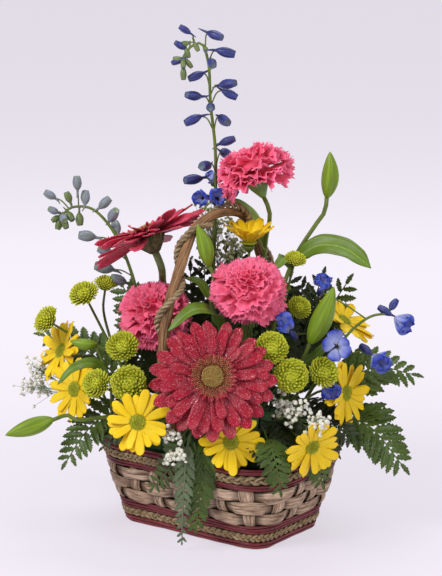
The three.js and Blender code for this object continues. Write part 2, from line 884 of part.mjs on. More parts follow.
/** A fern frond: lobed leaflets in pairs that grow out of a curved rib, all one body. */
function fernFrond(line, halfWidth, pairs, face) {
  const { foot, lean } = plant(line[0], 2.2, 4);
  const curve = new THREE.CatmullRomCurve3([foot, along(foot, lean, 10), ...line], false, "centripetal");
  const points = [];
  const faces = [];
  const add = (point) => points.push(point) - 1;
  const frameAt = (centre, forward, size) => {
    const side = forward.clone().cross(face).normalize();
    const out = side.clone().cross(forward).normalize();
    const corner = (across, up) => add(along(along(centre, side, across * size), out, up * size));
    const ring = [corner(-1, 0.7), corner(1, 0.7), corner(1, -0.7), corner(-1, -0.7)];
    return { centre, forward, side, out, ring };
  };
  const onRib = (share) =>
    frameAt(curve.getPointAt(share), curve.getTangentAt(share), lerp(1.1, 0.6, share));
  const first = 0.4;
  const step = (1 - first) / pairs;
  const widest = 0.34 * step * curve.getLength();
  const leaflet = (from, outward, length) => {
    const halfLeaf = Math.min(0.2, widest / length);
    const direction = outward.clone().normalize();
    const sideways = from.out.clone().cross(direction).normalize();
    const at = (share, side, z) =>
      along(along(along(from.centre, direction, share * length), sideways, side * length), from.out, z);
    const station = (share, width, sweep) => [
      at(share + sweep, -width, 0.1),
      at(share + sweep, width, 0.1),
      at(share, 0, -0.65),
    ];
    return {
      stations: [station(0.34, halfLeaf, 0.1), station(0.5, 0.55 * halfLeaf, 0)],
      edge: [at(1, 0, 0)],
    };
  };
  const bare = [0.2, 0.32].map(onRib);
  const paired = range(pairs).flatMap((k) => [onRib(first + step * k), onRib(first + step * (k + 0.45))]);
  const frames = [
    frameAt(along(foot, lean, -STEM_DEPTH), lean, 1.1),
    frameAt(foot, lean, 1.1),
    ...bare,
    ...paired,
  ];
  const firstPair = frames.length - paired.length;
  for (const k of range(frames.length - 1)) {
    const from = frames[k];
    const to = frames[k + 1];
    const [a, b] = [from.ring, to.ring];
    faces.push([a[0], a[1], b[1]], [a[0], b[1], b[0]]);
    faces.push([a[3], b[3], b[2]], [a[3], b[2], a[2]]);
    if (k >= firstPair && (k - firstPair) % 2 === 0) {
      const place = (k - firstPair) / 2 / pairs;
      const length = halfWidth * lerp(1, 0.32, place ** 1.3);
      const forward = from.forward.clone().multiplyScalar(0.75);
      const rightward = forward.clone().add(from.side);
      const leftward = forward.clone().sub(from.side);
      sprout(faces, add, [a[1], b[1], a[2], b[2]], leaflet(from, rightward, length));
      sprout(faces, add, [b[0], a[0], b[3], a[3]], leaflet(from, leftward, length));
    } else {
      faces.push([a[1], a[2], b[2]], [a[1], b[2], b[1]]);
      faces.push([a[0], b[0], b[3]], [a[0], b[3], a[3]]);
    }
  }
  const start = frames[0].ring;
  faces.push([start[1], start[0], start[3]], [start[1], start[3], start[2]]);
  const end = frames[frames.length - 1];
  sprout(
    faces,
    add,
    [end.ring[1], end.ring[0], end.ring[2], end.ring[3]],
    leaflet(end, end.forward, 0.45 * halfWidth),
  );
  return body(points, faces);
}

/** Tiny blossoms on fine twigs. Each blossom is a point. */
function breathSpray(fork, blossoms) {
  const { solid, axis } = mainStem(fork, 1.2, 3);
  const twigs = blossoms.map((at, i) => {
    const root = along(fork, axis, -0.6 - 1.5 * i);
    const out = at.clone().sub(root).normalize();
    return stalkedBud(root, along(at, out, -2.4), along(at, out, 2.8), 0.6, 2.7, 3);
  });
  return fused([solid, ...twigs]);
}

// The arrangement. Places are seen from its front: right, away, up.

const pieces = [];
const keep = (name, solid, material, priority) => pieces.push({ name, solid, material, priority });

function addBasket() {
  keep("basket_wall", basketWall(), "splint", 0);
  keep("basket_base", basketBase(), "splint", 0);
  keep("foot_band", reeds(0, 3.4, 2, 3), "burgundy", 0);
  keep("lower_braid", braid(7.2, 14.4, 3.6), "braid", 0);
  keep("lower_band", reeds(14.8, 3.9, 2, 2.8), "burgundy", 0);
  keep("upper_band", reeds(56.6, 2.8, 2, 2.8), "burgundy", 0);
  keep("rim_braid", braid(62.6, 70.6, 3.8), "braid", 0);
  keep("rim_band", rimBand(), "burgundy", 0);
  keep("handle_core", handleCore(), "vine", 0);
  keep("handle_wrap", handleWrap(), "cord", 0);
  keep("tray", tray(), "tray", 0);
}

function addGerberas() {
  const blooms = [
    { name: "front", at: seen(-6, -98, 157), face: facing(0.03, -0.95, 0.3), way: [] },
    {
      name: "left",
      at: seen(-62, 5, 257),
      face: facing(-0.38, 0.2, 0.9),
      way: [seen(-49, 33, 200)],
    },
  ];
  for (const { name, at, face, way } of blooms) {
    keep(`gerbera_${name}_petals`, placed(gerberaPetals(), at, face), "gerbera", 1);
    const green = [...gerberaDisc(), calyx(-3.2 - GAP, 13, 15, 4)];
    const stalk = stem(along(at, face, -14), face, way, 3.2, 5, 4);
    keep(`gerbera_${name}_stem`, fused([stalk, ...green.map((s) => placed(s, at, face))]), "stem", 0);
  }
}

/** The broad leaf that stands out to the left, high on the top carnation's stem. */
function highLeaf() {
  return leaf(
    [seen(39, 28.5, 238), seen(34, 32, 256), seen(20, 28, 276), seen(3, 20, 284)],
    [1, 5, 5.5, 4],
    facing(0, -0.8, 0.6),
  );
}

function addCarnations() {
  const blooms = [
    {
      name: "top",
      at: seen(26, 11, 316),
      face: facing(-0.38, 0.12, 0.92),
      way: [seen(24, 30, 152), seen(36, 32, 205), seen(40, 28, 246)],
    },
    {
      name: "right",
      at: seen(24, -47, 225),
      face: facing(0, -0.6, 0.8),
      way: [seen(22, -22, 180)],
    },
    {
      name: "left",
      at: seen(-57, -9, 195),
      face: facing(-0.15, -0.62, 0.77),
      way: [seen(-44, -2, 150)],
    },
  ];
  for (const { name, at, face, way } of blooms) {
    keep(`carnation_${name}_petals`, placed(carnationPetals(), at, face), "carnation", 2);
    const cup = placed(calyx(-9.8, 10.5, 21, 2.2), at, face);
    const stalk = stem(along(at, face, -28), face, way, 1.9, 4, 6);
    const leaves = name === "top" ? [highLeaf()] : [];
    keep(`carnation_${name}_stem`, fused([cup, stalk, ...leaves]), "stem", 0);
  }
}

function addDaisies() {
  const sprays = [
    {
      name: "front",
      fork: seen(-32, -65, 112),
      heads: [
        { at: seen(-68, -94, 117), face: facing(-0.05, -0.95, 0.28), cup: 0.12 },
        { at: seen(9, -93, 100), face: facing(0.08, -0.97, 0.05), cup: 0.12 },
      ],
    },
    {
      name: "left",
      fork: seen(-98, -8, 112),
      heads: [
        { at: seen(-124, -22, 126), face: facing(-0.62, -0.72, 0.3), cup: 0.15 },
        { at: seen(-138, 15, 150), face: facing(-0.75, -0.5, 0.42), cup: 0.2 },
      ],
    },
    {
      name: "right",
      fork: seen(50, -52, 108),
      heads: [
        { at: seen(76, -94, 96), face: facing(0.5, -0.75, -0.2), cup: 0.2 },
        { at: seen(107, -38, 127), face: facing(0.72, -0.6, 0.1), cup: 0.2 },
      ],
    },
    {
      name: "back",
      fork: seen(16, 22, 150),
      heads: [
        { at: seen(25, 2, 248), face: facing(0, -0.08, 1), cup: 1 },
        { at: seen(108, 20, 176), face: facing(0.55, -0.25, 0.8), cup: 0.2 },
        { at: seen(-20, 84, 150), face: facing(-0.1, 0.85, 0.5), cup: 0.15 },
      ],
    },
  ];
  for (const { name, fork, heads } of sprays) {
    keep(`daisy_${name}_stems`, daisySpray(fork, heads), "stem", 0);
    heads.forEach(({ at, face, cup }, i) => {
      keep(`daisy_${name}_petals_${i + 1}`, placed(daisyPetals(cup), at, face), "daisy", 2);
    });
  }
}

function addButtons() {
  const sprays = [
    {
      name: "upper_left",
      fork: seen(-92, 14, 150),
      heads: [
        { at: seen(-149, 8, 179), face: facing(-0.75, -0.35, 0.55), size: 0.95 },
        { at: seen(-117, 12, 201), face: facing(-0.3, -0.5, 0.8), size: 0.95 },
        { at: seen(-100, 30, 206), face: facing(0.1, -0.2, 0.97), size: 0.75 },
      ],
    },
    {
      name: "left",
      fork: seen(-84, -26, 124),
      heads: [
        { at: seen(-82, -42, 168), face: facing(-0.1, -0.75, 0.65) },
        { at: seen(-76, -72, 144), face: facing(0, -0.9, 0.4), size: 1.1 },
        { at: seen(-103, -58, 140), face: facing(-0.4, -0.8, 0.45), size: 0.9 },
      ],
    },
    {
      name: "right",
      fork: seen(58, -34, 116),
      heads: [
        { at: seen(43, -74, 175), face: facing(0.05, -0.85, 0.5) },
        { at: seen(59, -80, 153), face: facing(0.1, -0.93, 0.35), size: 1.05 },
        { at: seen(86, -66, 152), face: facing(0.4, -0.8, 0.45), size: 0.95 },
      ],
    },
    {
      name: "upper_right",
      fork: seen(48, 10, 160),
      heads: [
        { at: seen(64, -10, 236), face: facing(0.2, -0.3, 0.93), size: 0.7 },
        { at: seen(67, -30, 199), face: facing(0.3, -0.7, 0.65), size: 0.75 },
        { at: seen(60, 56, 190), face: facing(0.3, 0.6, 0.75), size: 0.9 },
      ],
    },
  ];
  for (const { name, fork, heads } of sprays) {
    keep(`button_spray_${name}`, buttonSpray(fork, heads), "button", 1);
  }
}

function addLilies() {
  const tallWay = [seen(60, 8, 225), seen(82, 14, 262)];
  const upRight = stem(seen(92, 15, 288), facing(0.12, 0, 1), tallWay, 1.6, 5, 7);
  keep(
    "lily_right",
    fused([
      upRight,
      bud(seen(92, 15, 286), seen(94, 11, 326), 7, 6),
      leaf(
        [seen(63, 9, 232), seen(84, 0, 247), seen(106, -12, 247), seen(128, -26, 233)],
        [1, 6.5, 8, 5],
        facing(0.1, -0.6, 0.8),
      ),
      leaf(
        [seen(60, 9, 225), seen(54, -12, 238), seen(48, -22, 228)],
        [1, 5, 3],
        facing(-0.2, -0.8, 0.5),
      ),
    ]),
    "leaf",
    1,
  );
  keep(
    "lily_low_right",
    fused([
      stem(seen(76, -54, 176), facing(0.35, -0.12, 0.95), [seen(58, -30, 132)], 1.6, 5, 5),
      bud(seen(75, -54, 174), seen(95, -63, 224), 8.5, 6),
      leaf(
        [seen(66, -42, 150), seen(84, -48, 166), seen(98, -46, 184)],
        [1, 4, 3],
        facing(0.4, -0.8, 0.4),
      ),
    ]),
    "leaf",
    1,
  );
  const centreWay = [seen(1, -26, 175), seen(-8, -33, 208)];
  keep(
    "lily_centre",
    fused([
      stem(seen(-9, -37, 238), facing(-0.3, 0.02, 0.95), centreWay, 1.5, 4, 7),
      bud(seen(-9, -37, 236), seen(-19, -40, 273), 6, 6),
      leaf(
        [seen(0, -27, 180), seen(-6, -50, 193), seen(-22, -66, 196), seen(-42, -74, 182)],
        [1, 6, 7.5, 4.5],
        facing(0, -0.5, 0.86),
      ),
      leaf(
        [seen(-7.5, -32.6, 206), seen(-17, -32, 222), seen(-29, -34, 226)],
        [1, 3.5, 3],
        facing(0, -0.7, 0.7),
      ),
    ]),
    "leaf",
    1,
  );
  const leftWay = [seen(-98, -47, 108), seen(-122, -55, 108)];
  keep(
    "lily_left",
    fused([
      stem(seen(-142, -53, 107), facing(-0.92, -0.3, -0.24), leftWay, 1.6, 4, 6),
      bud(seen(-140, -52, 108), seen(-180, -64, 97), 7, 6),
      bud(seen(-104, -22, 165), seen(-127, -24, 169), 4.6, 6),
      tube([seen(-92, -42, 107), seen(-94, -30, 136), seen(-106, -22, 165)], 1.3, 1.2, 4, 4),
      leaf(
        [seen(-94, -30, 136), seen(-106, -38, 152), seen(-122, -48, 152), seen(-137, -52, 138)],
        [1, 5, 5.5, 4],
        facing(-0.3, -0.7, 0.65),
      ),
    ]),
    "leaf",
    1,
  );
}

function addDelphiniums() {
  const tall = [
    seen(-6, 36, 200),
    seen(-4, 36, 271),
    seen(-4, 35, 326),
    seen(-8, 32, 365),
    seen(-10, 26, 402),
    seen(-16, 22, 418),
    seen(-26, 20, 414),
    seen(-31, 20, 402),
  ];
  const tallBuds = [
    [seen(-32, 22, 431), 9],
    [seen(-36, 18, 418), 9],
    [seen(-38, 24, 402), 9],
    [seen(-1, 18, 424), 12],
    [seen(9, 26, 409), 13],
    [seen(-24, 26, 388), 12],
    [seen(-6, 14, 401), 12],
    [seen(10, 20, 384), 13],
    [seen(12, 30, 372), 12],
    [seen(-26, 20, 374), 13],
    [seen(-8, 12, 364), 12],
    [seen(-27, 28, 350), 13],
    [seen(5, 16, 352), 13],
    [seen(10, 32, 334), 12],
    [seen(-14, 12, 314), 14],
    [seen(-27, 24, 300), 14],
    [seen(6, 58, 318), 13],
  ];
  const tallFlorets = [
    [seen(-13, 20, 286), facing(-0.4, -0.9, 0.1), 11],
    [seen(6, 42, 288), facing(0.7, -0.6, 0.1), 10],
    [seen(-6, 46, 296), facing(0, 0.9, 0.2), 11],
  ];
  keep("delphinium_tall", delphiniumSpike(tall, tallBuds, tallFlorets, 0.28, 0.6), "delphinium", 1);

  const left = [
    seen(-66, 30, 170),
    seen(-77, 40, 213),
    seen(-89, 45, 243),
    seen(-102, 48, 262),
    seen(-114, 50, 271),
    seen(-130, 52, 272),
  ];
  const leftBuds = [
    [seen(-125, 52, 296), 10],
    [seen(-151, 50, 284), 9],
    [seen(-148, 48, 270), 8],
    [seen(-136, 42, 262), 9],
    [seen(-118, 56, 282), 10],
    [seen(-98, 50, 278), 11],
    [seen(-92, 42, 268), 11],
    [seen(-92, 58, 254), 11],
    [seen(-120, 40, 248), 12],
    [seen(-104, 40, 236), 11],
    [seen(-106, 34, 222), 14],
    [seen(-92, 30, 212), 12],
  ];
  keep("delphinium_left", delphiniumSpike(left, leftBuds, [], 0.34, 0.1), "delphinium", 1);

  const right = [
    seen(84, -22, 135),
    seen(98, -26, 160),
    seen(114, -24, 180),
    seen(130, -20, 190),
    seen(144, -20, 192),
  ];
  const rightBuds = [
    [seen(150, -12, 200), 10],
    [seen(98, -73, 140), 14],
  ];
  const rightFlorets = [
    [seen(150, -22, 188), facing(0.75, -0.5, -0.2), 14],
    [seen(130, -42, 161), facing(0.5, -0.8, 0.1), 14],
    [seen(87, -8, 212), facing(0.1, -0.8, 0.5), 12],
    [seen(97, -72, 176), facing(0.2, -0.95, 0.2), 13],
    [seen(60, -56, 188), facing(-0.3, -0.8, 0.5), 12],
  ];
  keep("delphinium_right", delphiniumSpike(right, rightBuds, rightFlorets, 0.28, 0.2), "delphinium", 1);
}

function addFerns() {
  const fronds = [
    {
      name: "right_upper",
      line: [seen(98, -6, 120), seen(134, -10, 142), seen(166, -10, 136)],
      halfWidth: 34,
      pairs: 5,
      face: facing(0.2, -0.6, 0.8),
    },
    {
      name: "right_lower",
      line: [seen(92, -14, 104), seen(128, -34, 96), seen(155, -46, 66)],
      halfWidth: 36,
      pairs: 5,
      face: facing(0.4, -0.8, 0.5),
    },
    {
      name: "right_back",
      line: [seen(70, 40, 130), seen(92, 48, 172), seen(112, 48, 204)],
      halfWidth: 34,
      pairs: 5,
      face: facing(-0.2, -0.7, 0.5),
    },
    {
      name: "left_upper",
      line: [seen(-92, 42, 122), seen(-128, 52, 148), seen(-156, 50, 156)],
      halfWidth: 32,
      pairs: 5,
      face: facing(-0.1, -0.6, 0.8),
    },
    {
      name: "left_lower",
      line: [seen(-98, -20, 102), seen(-116, -36, 90), seen(-131, -44, 68)],
      halfWidth: 28,
      pairs: 5,
      face: facing(-0.3, -0.8, 0.5),
    },
    {
      name: "trailing",
      line: [seen(-14, -80, 96), seen(-16, -86, 62), seen(-20, -90, 24)],
      halfWidth: 20,
      pairs: 5,
      face: facing(0.1, -0.95, 0.15),
    },
    {
      name: "trailing_pale",
      line: [seen(-26, -84, 98), seen(-30, -96, 60), seen(-32, -80, 7)],
      halfWidth: 20,
      pairs: 5,
      face: facing(-0.1, -0.95, 0.15),
    },
    {
      name: "front_right",
      line: [seen(38, -84, 103), seen(45, -106, 90), seen(50, -106, 62)],
      halfWidth: 22,
      pairs: 5,
      face: facing(0.3, -0.9, 0.2),
    },
    {
      name: "back_left",
      line: [seen(-52, 62, 130), seen(-72, 86, 168), seen(-88, 98, 190)],
      halfWidth: 38,
      pairs: 5,
      face: facing(-0.2, 0.8, 0.4),
    },
    {
      name: "back_right",
      line: [seen(30, 72, 120), seen(40, 104, 150), seen(44, 124, 176)],
      halfWidth: 38,
      pairs: 5,
      face: facing(0.2, 0.8, 0.5),
    },
  ];
  for (const { name, line, halfWidth, pairs, face } of fronds) {
    keep(`fern_${name}`, fernFrond(line, halfWidth, pairs, face), "fern", 3);
  }
}

function addBreath() {
  const cluster = (centre, count, size, kind) =>
    range(count).map((i) => {
      const offset = new THREE.Vector3(uneven(i, kind), uneven(i, kind + 1), uneven(i, kind + 2));
      return centre.clone().add(offset.multiply(size));
    });
  const left = cluster(seen(-162, 22, 124), 9, new THREE.Vector3(12, 12, 14), 1);
  keep("breath_left", breathSpray(seen(-128, 14, 112), left), "breath", 2);
  const front = cluster(seen(-37, -98, 94), 7, new THREE.Vector3(8, 4, 14), 4);
  keep("breath_front", breathSpray(seen(-33, -82, 100), front), "breath", 2);
  const right = cluster(seen(60, -88, 122), 7, new THREE.Vector3(15, 6, 9), 7);
  keep("breath_right", breathSpray(seen(66, -64, 112), right), "breath", 2);
}

function addFiller() {
  const fork = seen(2, 40, 205);
  const { solid, axis } = mainStem(fork, 1.4);
  const twigs = range(7).map((i) => {
    const tip = seen(4 + 15 * uneven(i, 3), 46 + 12 * uneven(i, 6), 248 + 16 * uneven(i, 9));
    const root = along(fork, axis, -0.6 - 2 * i);
    return stalkedBud(root, along(tip, UP, -3), along(tip, UP, 7), 0.8, 2.8, 3);
  });
  keep("filler_spray", fused([solid, ...twigs]), "filler", 3);
}

/** Cuts a clearance in each piece for the ones of a higher rank that reach into it. */
function separate(list) {
  const done = [];
  for (const piece of [...list].sort((a, b) => a.priority - b.priority)) {
    for (const other of done) {
      if (piece.solid.intersect(other.solid).volume() < 1e-4) continue;
      const cut = piece.solid.subtract(grown(other.solid, GAP)).simplify(0.05);
      piece.solid = cut.decompose().sort((a, b) => b.volume() - a.volume())[0];
    }
    done.push(piece);
  }
}

/** A named mesh from a solid. */
function meshOf({ name, solid, material }) {
  const { vertProperties, triVerts } = solid.getMesh();
  const geometry = new THREE.BufferGeometry();
  geometry.setAttribute("position", new THREE.BufferAttribute(vertProperties, 3));
  geometry.setIndex(new THREE.BufferAttribute(triVerts, 1));
  geometry.computeVertexNormals();
  const mesh = new THREE.Mesh(geometry, LOOKS[material]);
  mesh.name = name;
  return mesh;
}

addBasket();
addGerberas();
addCarnations();
addDaisies();
addButtons();
addLilies();
addDelphiniums();
addFerns();
addBreath();
addFiller();
keep("foam", foam(), "foam", 0);
separate(pieces);

const arrangement = new THREE.Group();
arrangement.name = "flower_basket";
arrangement.add(...pieces.map(meshOf));

export default arrangement;
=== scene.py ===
import random
from math import acos, atan, copysign, cos, exp, floor, hypot, pi, radians, sin, sqrt, tau

import bpy
from bpy.props import FloatProperty, FloatVectorProperty, IntProperty, PointerProperty
from mathutils import Matrix, Quaternion, Vector, noise


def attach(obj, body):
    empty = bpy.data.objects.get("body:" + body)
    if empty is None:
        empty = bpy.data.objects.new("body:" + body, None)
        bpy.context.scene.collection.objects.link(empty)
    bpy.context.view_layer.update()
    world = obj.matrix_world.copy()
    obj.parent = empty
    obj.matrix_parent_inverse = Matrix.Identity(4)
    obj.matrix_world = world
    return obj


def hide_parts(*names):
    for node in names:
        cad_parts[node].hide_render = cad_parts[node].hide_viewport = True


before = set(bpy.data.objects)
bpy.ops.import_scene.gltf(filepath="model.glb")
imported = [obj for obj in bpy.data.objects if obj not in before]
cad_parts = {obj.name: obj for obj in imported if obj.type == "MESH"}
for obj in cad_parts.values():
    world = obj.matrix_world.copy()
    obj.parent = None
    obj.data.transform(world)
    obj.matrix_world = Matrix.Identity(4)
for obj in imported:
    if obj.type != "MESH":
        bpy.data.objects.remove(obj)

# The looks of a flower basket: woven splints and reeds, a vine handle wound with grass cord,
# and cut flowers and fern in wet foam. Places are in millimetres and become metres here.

bl_info = {
    "name": "Flower basket",
    "version": (1, 0, 0),
    "blender": (4, 5, 0),
    "location": "3D View > Sidebar > Flower basket",
    "description": "Builds a woven basket with a vine handle and a cut flower arrangement",
    "category": "Add Mesh",
}

MM = 0.001
FRONT_TURN = radians(36.8)  # the arrangement's front, from the -Y side
UP = Vector((0, 0, 1))
GOLDEN_ANGLE = 2.39996  # from one seed of a spiral to the next
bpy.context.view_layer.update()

BASKET_HEIGHT = 71
BASE_LONG, BASE_SHORT, BASE_CORNER = 146, 88, 14
RIM_LONG, RIM_SHORT, RIM_CORNER = 196, 134, 44
OUTLINE_LENGTH = 520  # round the wall at the middle of the weave
WEAVE_LOW, WEAVE_HIGH, WEAVE_ROWS = 23, 56, 3
ROW_HEIGHT = (WEAVE_HIGH - WEAVE_LOW) / WEAVE_ROWS
STAKE_LOW, STAKE_HIGH = 4, 70
LINING_INSIDE, LINING_OUTSIDE = -3, -0.7  # out from the outline
BOTTOM_HALF_LONG, BOTTOM_HALF_SHORT, BOTTOM_THICK, BOTTOM_MIDDLE = 69.2, 40.2, 1.8, 1.6
HANDLE_FRONT = [  # Y and Z of the arch from its front foot, inside the wall, to its top
    (-47.8, 34), (-58.3, 66), (-65, 92), (-75, 130), (-79.5, 165), (-76, 192), (-65, 221),
    (-50, 247), (-37, 266), (-22, 273),
]
HANDLE_TOP = 275.5
CORD_START, CORD_TURNS, CORD_TWISTS = 0.115, 7, 50  # a share of the arch, and whole turns
FOAM_TOP = 98
FOOT_LIMIT = (72, 42)  # how far out a stem may enter the foam
STEM_DEPTH = 16  # how deep a stem stands in the foam
STEM_FOCUS = Vector((0, 0, -60))  # stems fan out from below the foam


# Sizes and colours that a user would change


def rgb(code):
    """A linear colour from six hexadecimal digits."""
    shares = [int(code[k : k + 2], 16) / 255 for k in (0, 2, 4)]
    return tuple(s / 12.92 if s <= 0.04045 else ((s + 0.055) / 1.055) ** 2.4 for s in shares)


def length_property(name, description, default):
    return FloatProperty(name=name, description=description, default=default * MM, unit="LENGTH")


def colour_property(name, description, code):
    return FloatVectorProperty(
        name=name, description=description, default=rgb(code), subtype="COLOR", min=0, max=1
    )


class FlowerBasketSizes(bpy.types.PropertyGroup):
    stakes: IntProperty(name="Stakes", description="Upright splints round the wall", default=22)
    stake_width: length_property("Stake width", "Width of an upright splint", 9.5)
    weave_bulge: length_property("Weave bulge", "How far a weaver stands out over a stake", 3.4)
    splint_thickness: length_property("Splint thickness", "Thickness of a splint", 1.1)
    vine_half_width: length_property("Vine half width", "Half the handle's width", 5.0)
    vine_half_thickness: length_property("Vine half thickness", "Half the handle's depth", 3.4)
    cord_radius: length_property("Cord strand radius", "Radius of one strand of grass cord", 1.6)
    gerbera_radius: length_property("Gerbera radius", "From the disc's middle to a petal tip", 54)
    carnation_radius: length_property("Carnation radius", "Half the width of a carnation", 31)
    daisy_radius: length_property("Daisy radius", "From the disc's middle to a petal tip", 28.5)
    button_radius: length_property("Button bloom radius", "Half the width of a button bloom", 13)
    blossom_radius: length_property("Small blossom radius", "Half a white blossom's width", 1.9)


class FlowerBasketColours(bpy.types.PropertyGroup):
    splint: colour_property("Splint", "Dry split wood", "ac8260")
    reed: colour_property("Dyed reed", "Burgundy reeds", "741522")
    grass: colour_property("Braided grass", "Dry plaited grass", "9d7c48")
    vine: colour_property("Vine", "Bark of the handle", "845c36")
    gerbera: colour_property("Gerbera", "Crimson petals", "ab0a2c")
    gerbera_disc: colour_property("Gerbera disc", "Olive gold disc", "b08c40")
    carnation: colour_property("Carnation", "Pink petals", "ff4c68")
    daisy: colour_property("Daisy", "Yellow petals", "f8d204")
    button: colour_property("Button bloom", "Yellow-green petals", "b0ba08")
    delphinium: colour_property("Delphinium", "Blue sepals", "2542b2")
    stem: colour_property("Stem", "Green stems", "627328")
    leaf: colour_property("Leaf", "Glossy leaves", "607e16")
    lily: colour_property("Lily bud", "Green buds", "7f9c1a")
    fern: colour_property("Fern", "Dark fern", "485e1e")
    blossom: colour_property("Small blossom", "White blossom", "efeddd")


def sizes():
    return bpy.context.scene.flower_basket_sizes


def colours():
    return bpy.context.scene.flower_basket_colours


# Places and lines


def seen(right, away, up):
    """A point as the arrangement is seen from its front: right, away and up in millimetres."""
    across, back = cos(FRONT_TURN), sin(FRONT_TURN)
    return Vector((right * across - away * back, right * back + away * across, up))


def seen_line(points):
    return [seen(*point) for point in points]


def facing(right, away, up):
    return seen(right, away, up).normalized()


def lerp(low, high, share):
    return low + (high - low) * share


def bump_between(value, low, high):
    """A smooth step from 0 at low to 1 at high."""
    share = min(1, max(0, (value - low) / (high - low)))
    return share * share * (3 - 2 * share)


def uneven(index, kind):
    """A repeatable uneven value from -1 to 1."""
    wave = sin(index * 12.9898 + kind * 78.233) * 43758.5453
    return 2 * (wave - floor(wave)) - 1


def smooth_line(points, count):
    """Evenly spaced points on a smooth line through the given ones."""
    ends = [2 * points[0] - points[1], *points, 2 * points[-1] - points[-2]]
    fine = []
    for a, b, c, d in zip(ends, ends[1:], ends[2:], ends[3:]):
        t1 = (b - a).length ** 0.5
        t2 = t1 + (c - b).length ** 0.5
        t3 = t2 + (d - c).length ** 0.5
        for k in range(12):
            t = lerp(t1, t2, k / 12)
            ab = a.lerp(b, t / t1)
            bc = b.lerp(c, (t - t1) / (t2 - t1))
            cd = c.lerp(d, (t - t2) / (t3 - t2))
            abc = ab.lerp(bc, t / t2)
            bcd = bc.lerp(cd, (t - t1) / (t3 - t1))
            fine.append(abc.lerp(bcd, (t - t1) / (t2 - t1)))
    fine.append(points[-1].copy())
    reached = [0.0]
    for a, b in zip(fine, fine[1:]):
        reached.append(reached[-1] + (b - a).length)
    even, k = [], 0
    for i in range(count + 1):
        distance = reached[-1] * i / count
        while k < len(fine) - 2 and reached[k + 1] < distance:
            k += 1
        part = (distance - reached[k]) / max(reached[k + 1] - reached[k], 1e-9)
        even.append(fine[k].lerp(fine[k + 1], part))
    return even


def tangents(line):
    last = len(line) - 1
    return [(line[min(k + 1, last)] - line[max(k - 1, 0)]).normalized() for k in range(last + 1)]


def around(radius, angle, z=0.0):
    """A point on a circle round the Z axis."""
    return Vector((radius * cos(angle), radius * sin(angle), z))


def spiral(count, radius):
    """Points that fill a disc as seeds do, each with its number and its distance out."""
    for k in range(count):
        out = radius * sqrt((k + 0.5) / count)
        yield k, out, around(out, k * GOLDEN_ANGLE)


def turned(origin, axis, spin=0.0, size=1.0):
    """Places a shape that faces +Z at a point in millimetres, to face along an axis."""
    turn = UP.rotation_difference(axis) @ Quaternion(UP, spin)
    return Matrix.LocRotScale(origin * MM, turn, Vector((size, size, size)))


def posed(spin, at=(0, 0, 0), rise=0.0, roll=0.0, size=1.0):
    """Spins a shape round +Z after it is scaled, rolled, tipped and moved, at in millimetres."""
    place = Matrix.Rotation(spin, 4, "Z") @ Matrix.Translation(Vector(at) * MM)
    turn = Matrix.Rotation(rise, 4, "Y") @ Matrix.Rotation(roll, 4, "X")
    return place @ turn @ Matrix.Scale(size, 4)


def framed(origin, x, y, z, size):
    """Places a shape whose axes point along x, y and z at a point in millimetres."""
    turn = Matrix((x, y, z)).transposed().to_4x4()
    return Matrix.Translation(origin * MM) @ turn @ Matrix.Scale(size, 4)


def pointed(start, end, roll, width):
    """Places a shape of unit length along +Z from one point to another, in millimetres."""
    way = end - start
    turn = UP.rotation_difference(way.normalized()) @ Quaternion(UP, roll)
    return Matrix.LocRotScale(start * MM, turn, Vector((width, width, way.length)))


def rooted(points, rise, count, aim=None):
    """A line from inside the foam through points, which leans towards its aim at first."""
    aim = points[0] if aim is None else aim
    ray = aim - STEM_FOCUS
    foot = STEM_FOCUS + ray * ((FOAM_TOP - STEM_FOCUS.z) / ray.z)
    shrink = min(1, FOOT_LIMIT[0] / abs(foot.x), FOOT_LIMIT[1] / abs(foot.y))
    foot.x *= shrink
    foot.y *= shrink
    lean = ((aim - foot).normalized() + 0.7 * UP).normalized()
    return smooth_line([foot - lean * STEM_DEPTH, foot, foot + lean * rise, *points], count)


# Shapes, each started from a primitive


def started(add, **settings):
    """A new object from an operator that adds one, once everything is deselected."""
    bpy.ops.object.select_all(action="DESELECT")
    add(**settings)
    return bpy.context.object


def formed(columns, rows, place):
    """A grid whose vertices are put at place(column share, row share), in millimetres."""
    grid = {"x_subdivisions": columns, "y_subdivisions": rows}
    piece = started(bpy.ops.mesh.primitive_grid_add, size=2, **grid)
    for index, vertex in enumerate(piece.data.vertices):
        row, column = divmod(index, columns + 1)
        vertex.co = place(column / columns, row / rows) * MM
    return piece


def hoop(major, minor, place):
    """A closed ring whose surface is at place(share round the ring, angle round its section)."""
    ring = formed(major, minor, lambda share, turn: place(share % 1, tau * (turn % 1)))
    return tidied(ring)


def only(piece):
    """Makes a piece the only selected and the active one."""
    bpy.ops.object.select_all(action="DESELECT")
    piece.select_set(True)
    bpy.context.view_layer.objects.active = piece


def tidied(piece):
    """Merges the seams and poles, turns the faces outwards and shades them smooth."""
    only(piece)
    bpy.ops.object.mode_set(mode="EDIT")
    bpy.ops.mesh.select_all(action="SELECT")
    bpy.ops.mesh.remove_doubles(threshold=2e-6)
    bpy.ops.mesh.normals_make_consistent(inside=False)
    bpy.ops.object.mode_set(mode="OBJECT")
    bpy.ops.object.shade_smooth()
    return piece


def thickened(piece, thickness):
    """Gives a sheet its thickness, in millimetres, on both sides."""
    only(piece)
    wall = piece.modifiers.new("thickness", "SOLIDIFY")
    wall.thickness = thickness * MM
    wall.offset = 0
    bpy.ops.object.modifier_apply(modifier=wall.name)
    bpy.ops.object.shade_smooth()
    return piece


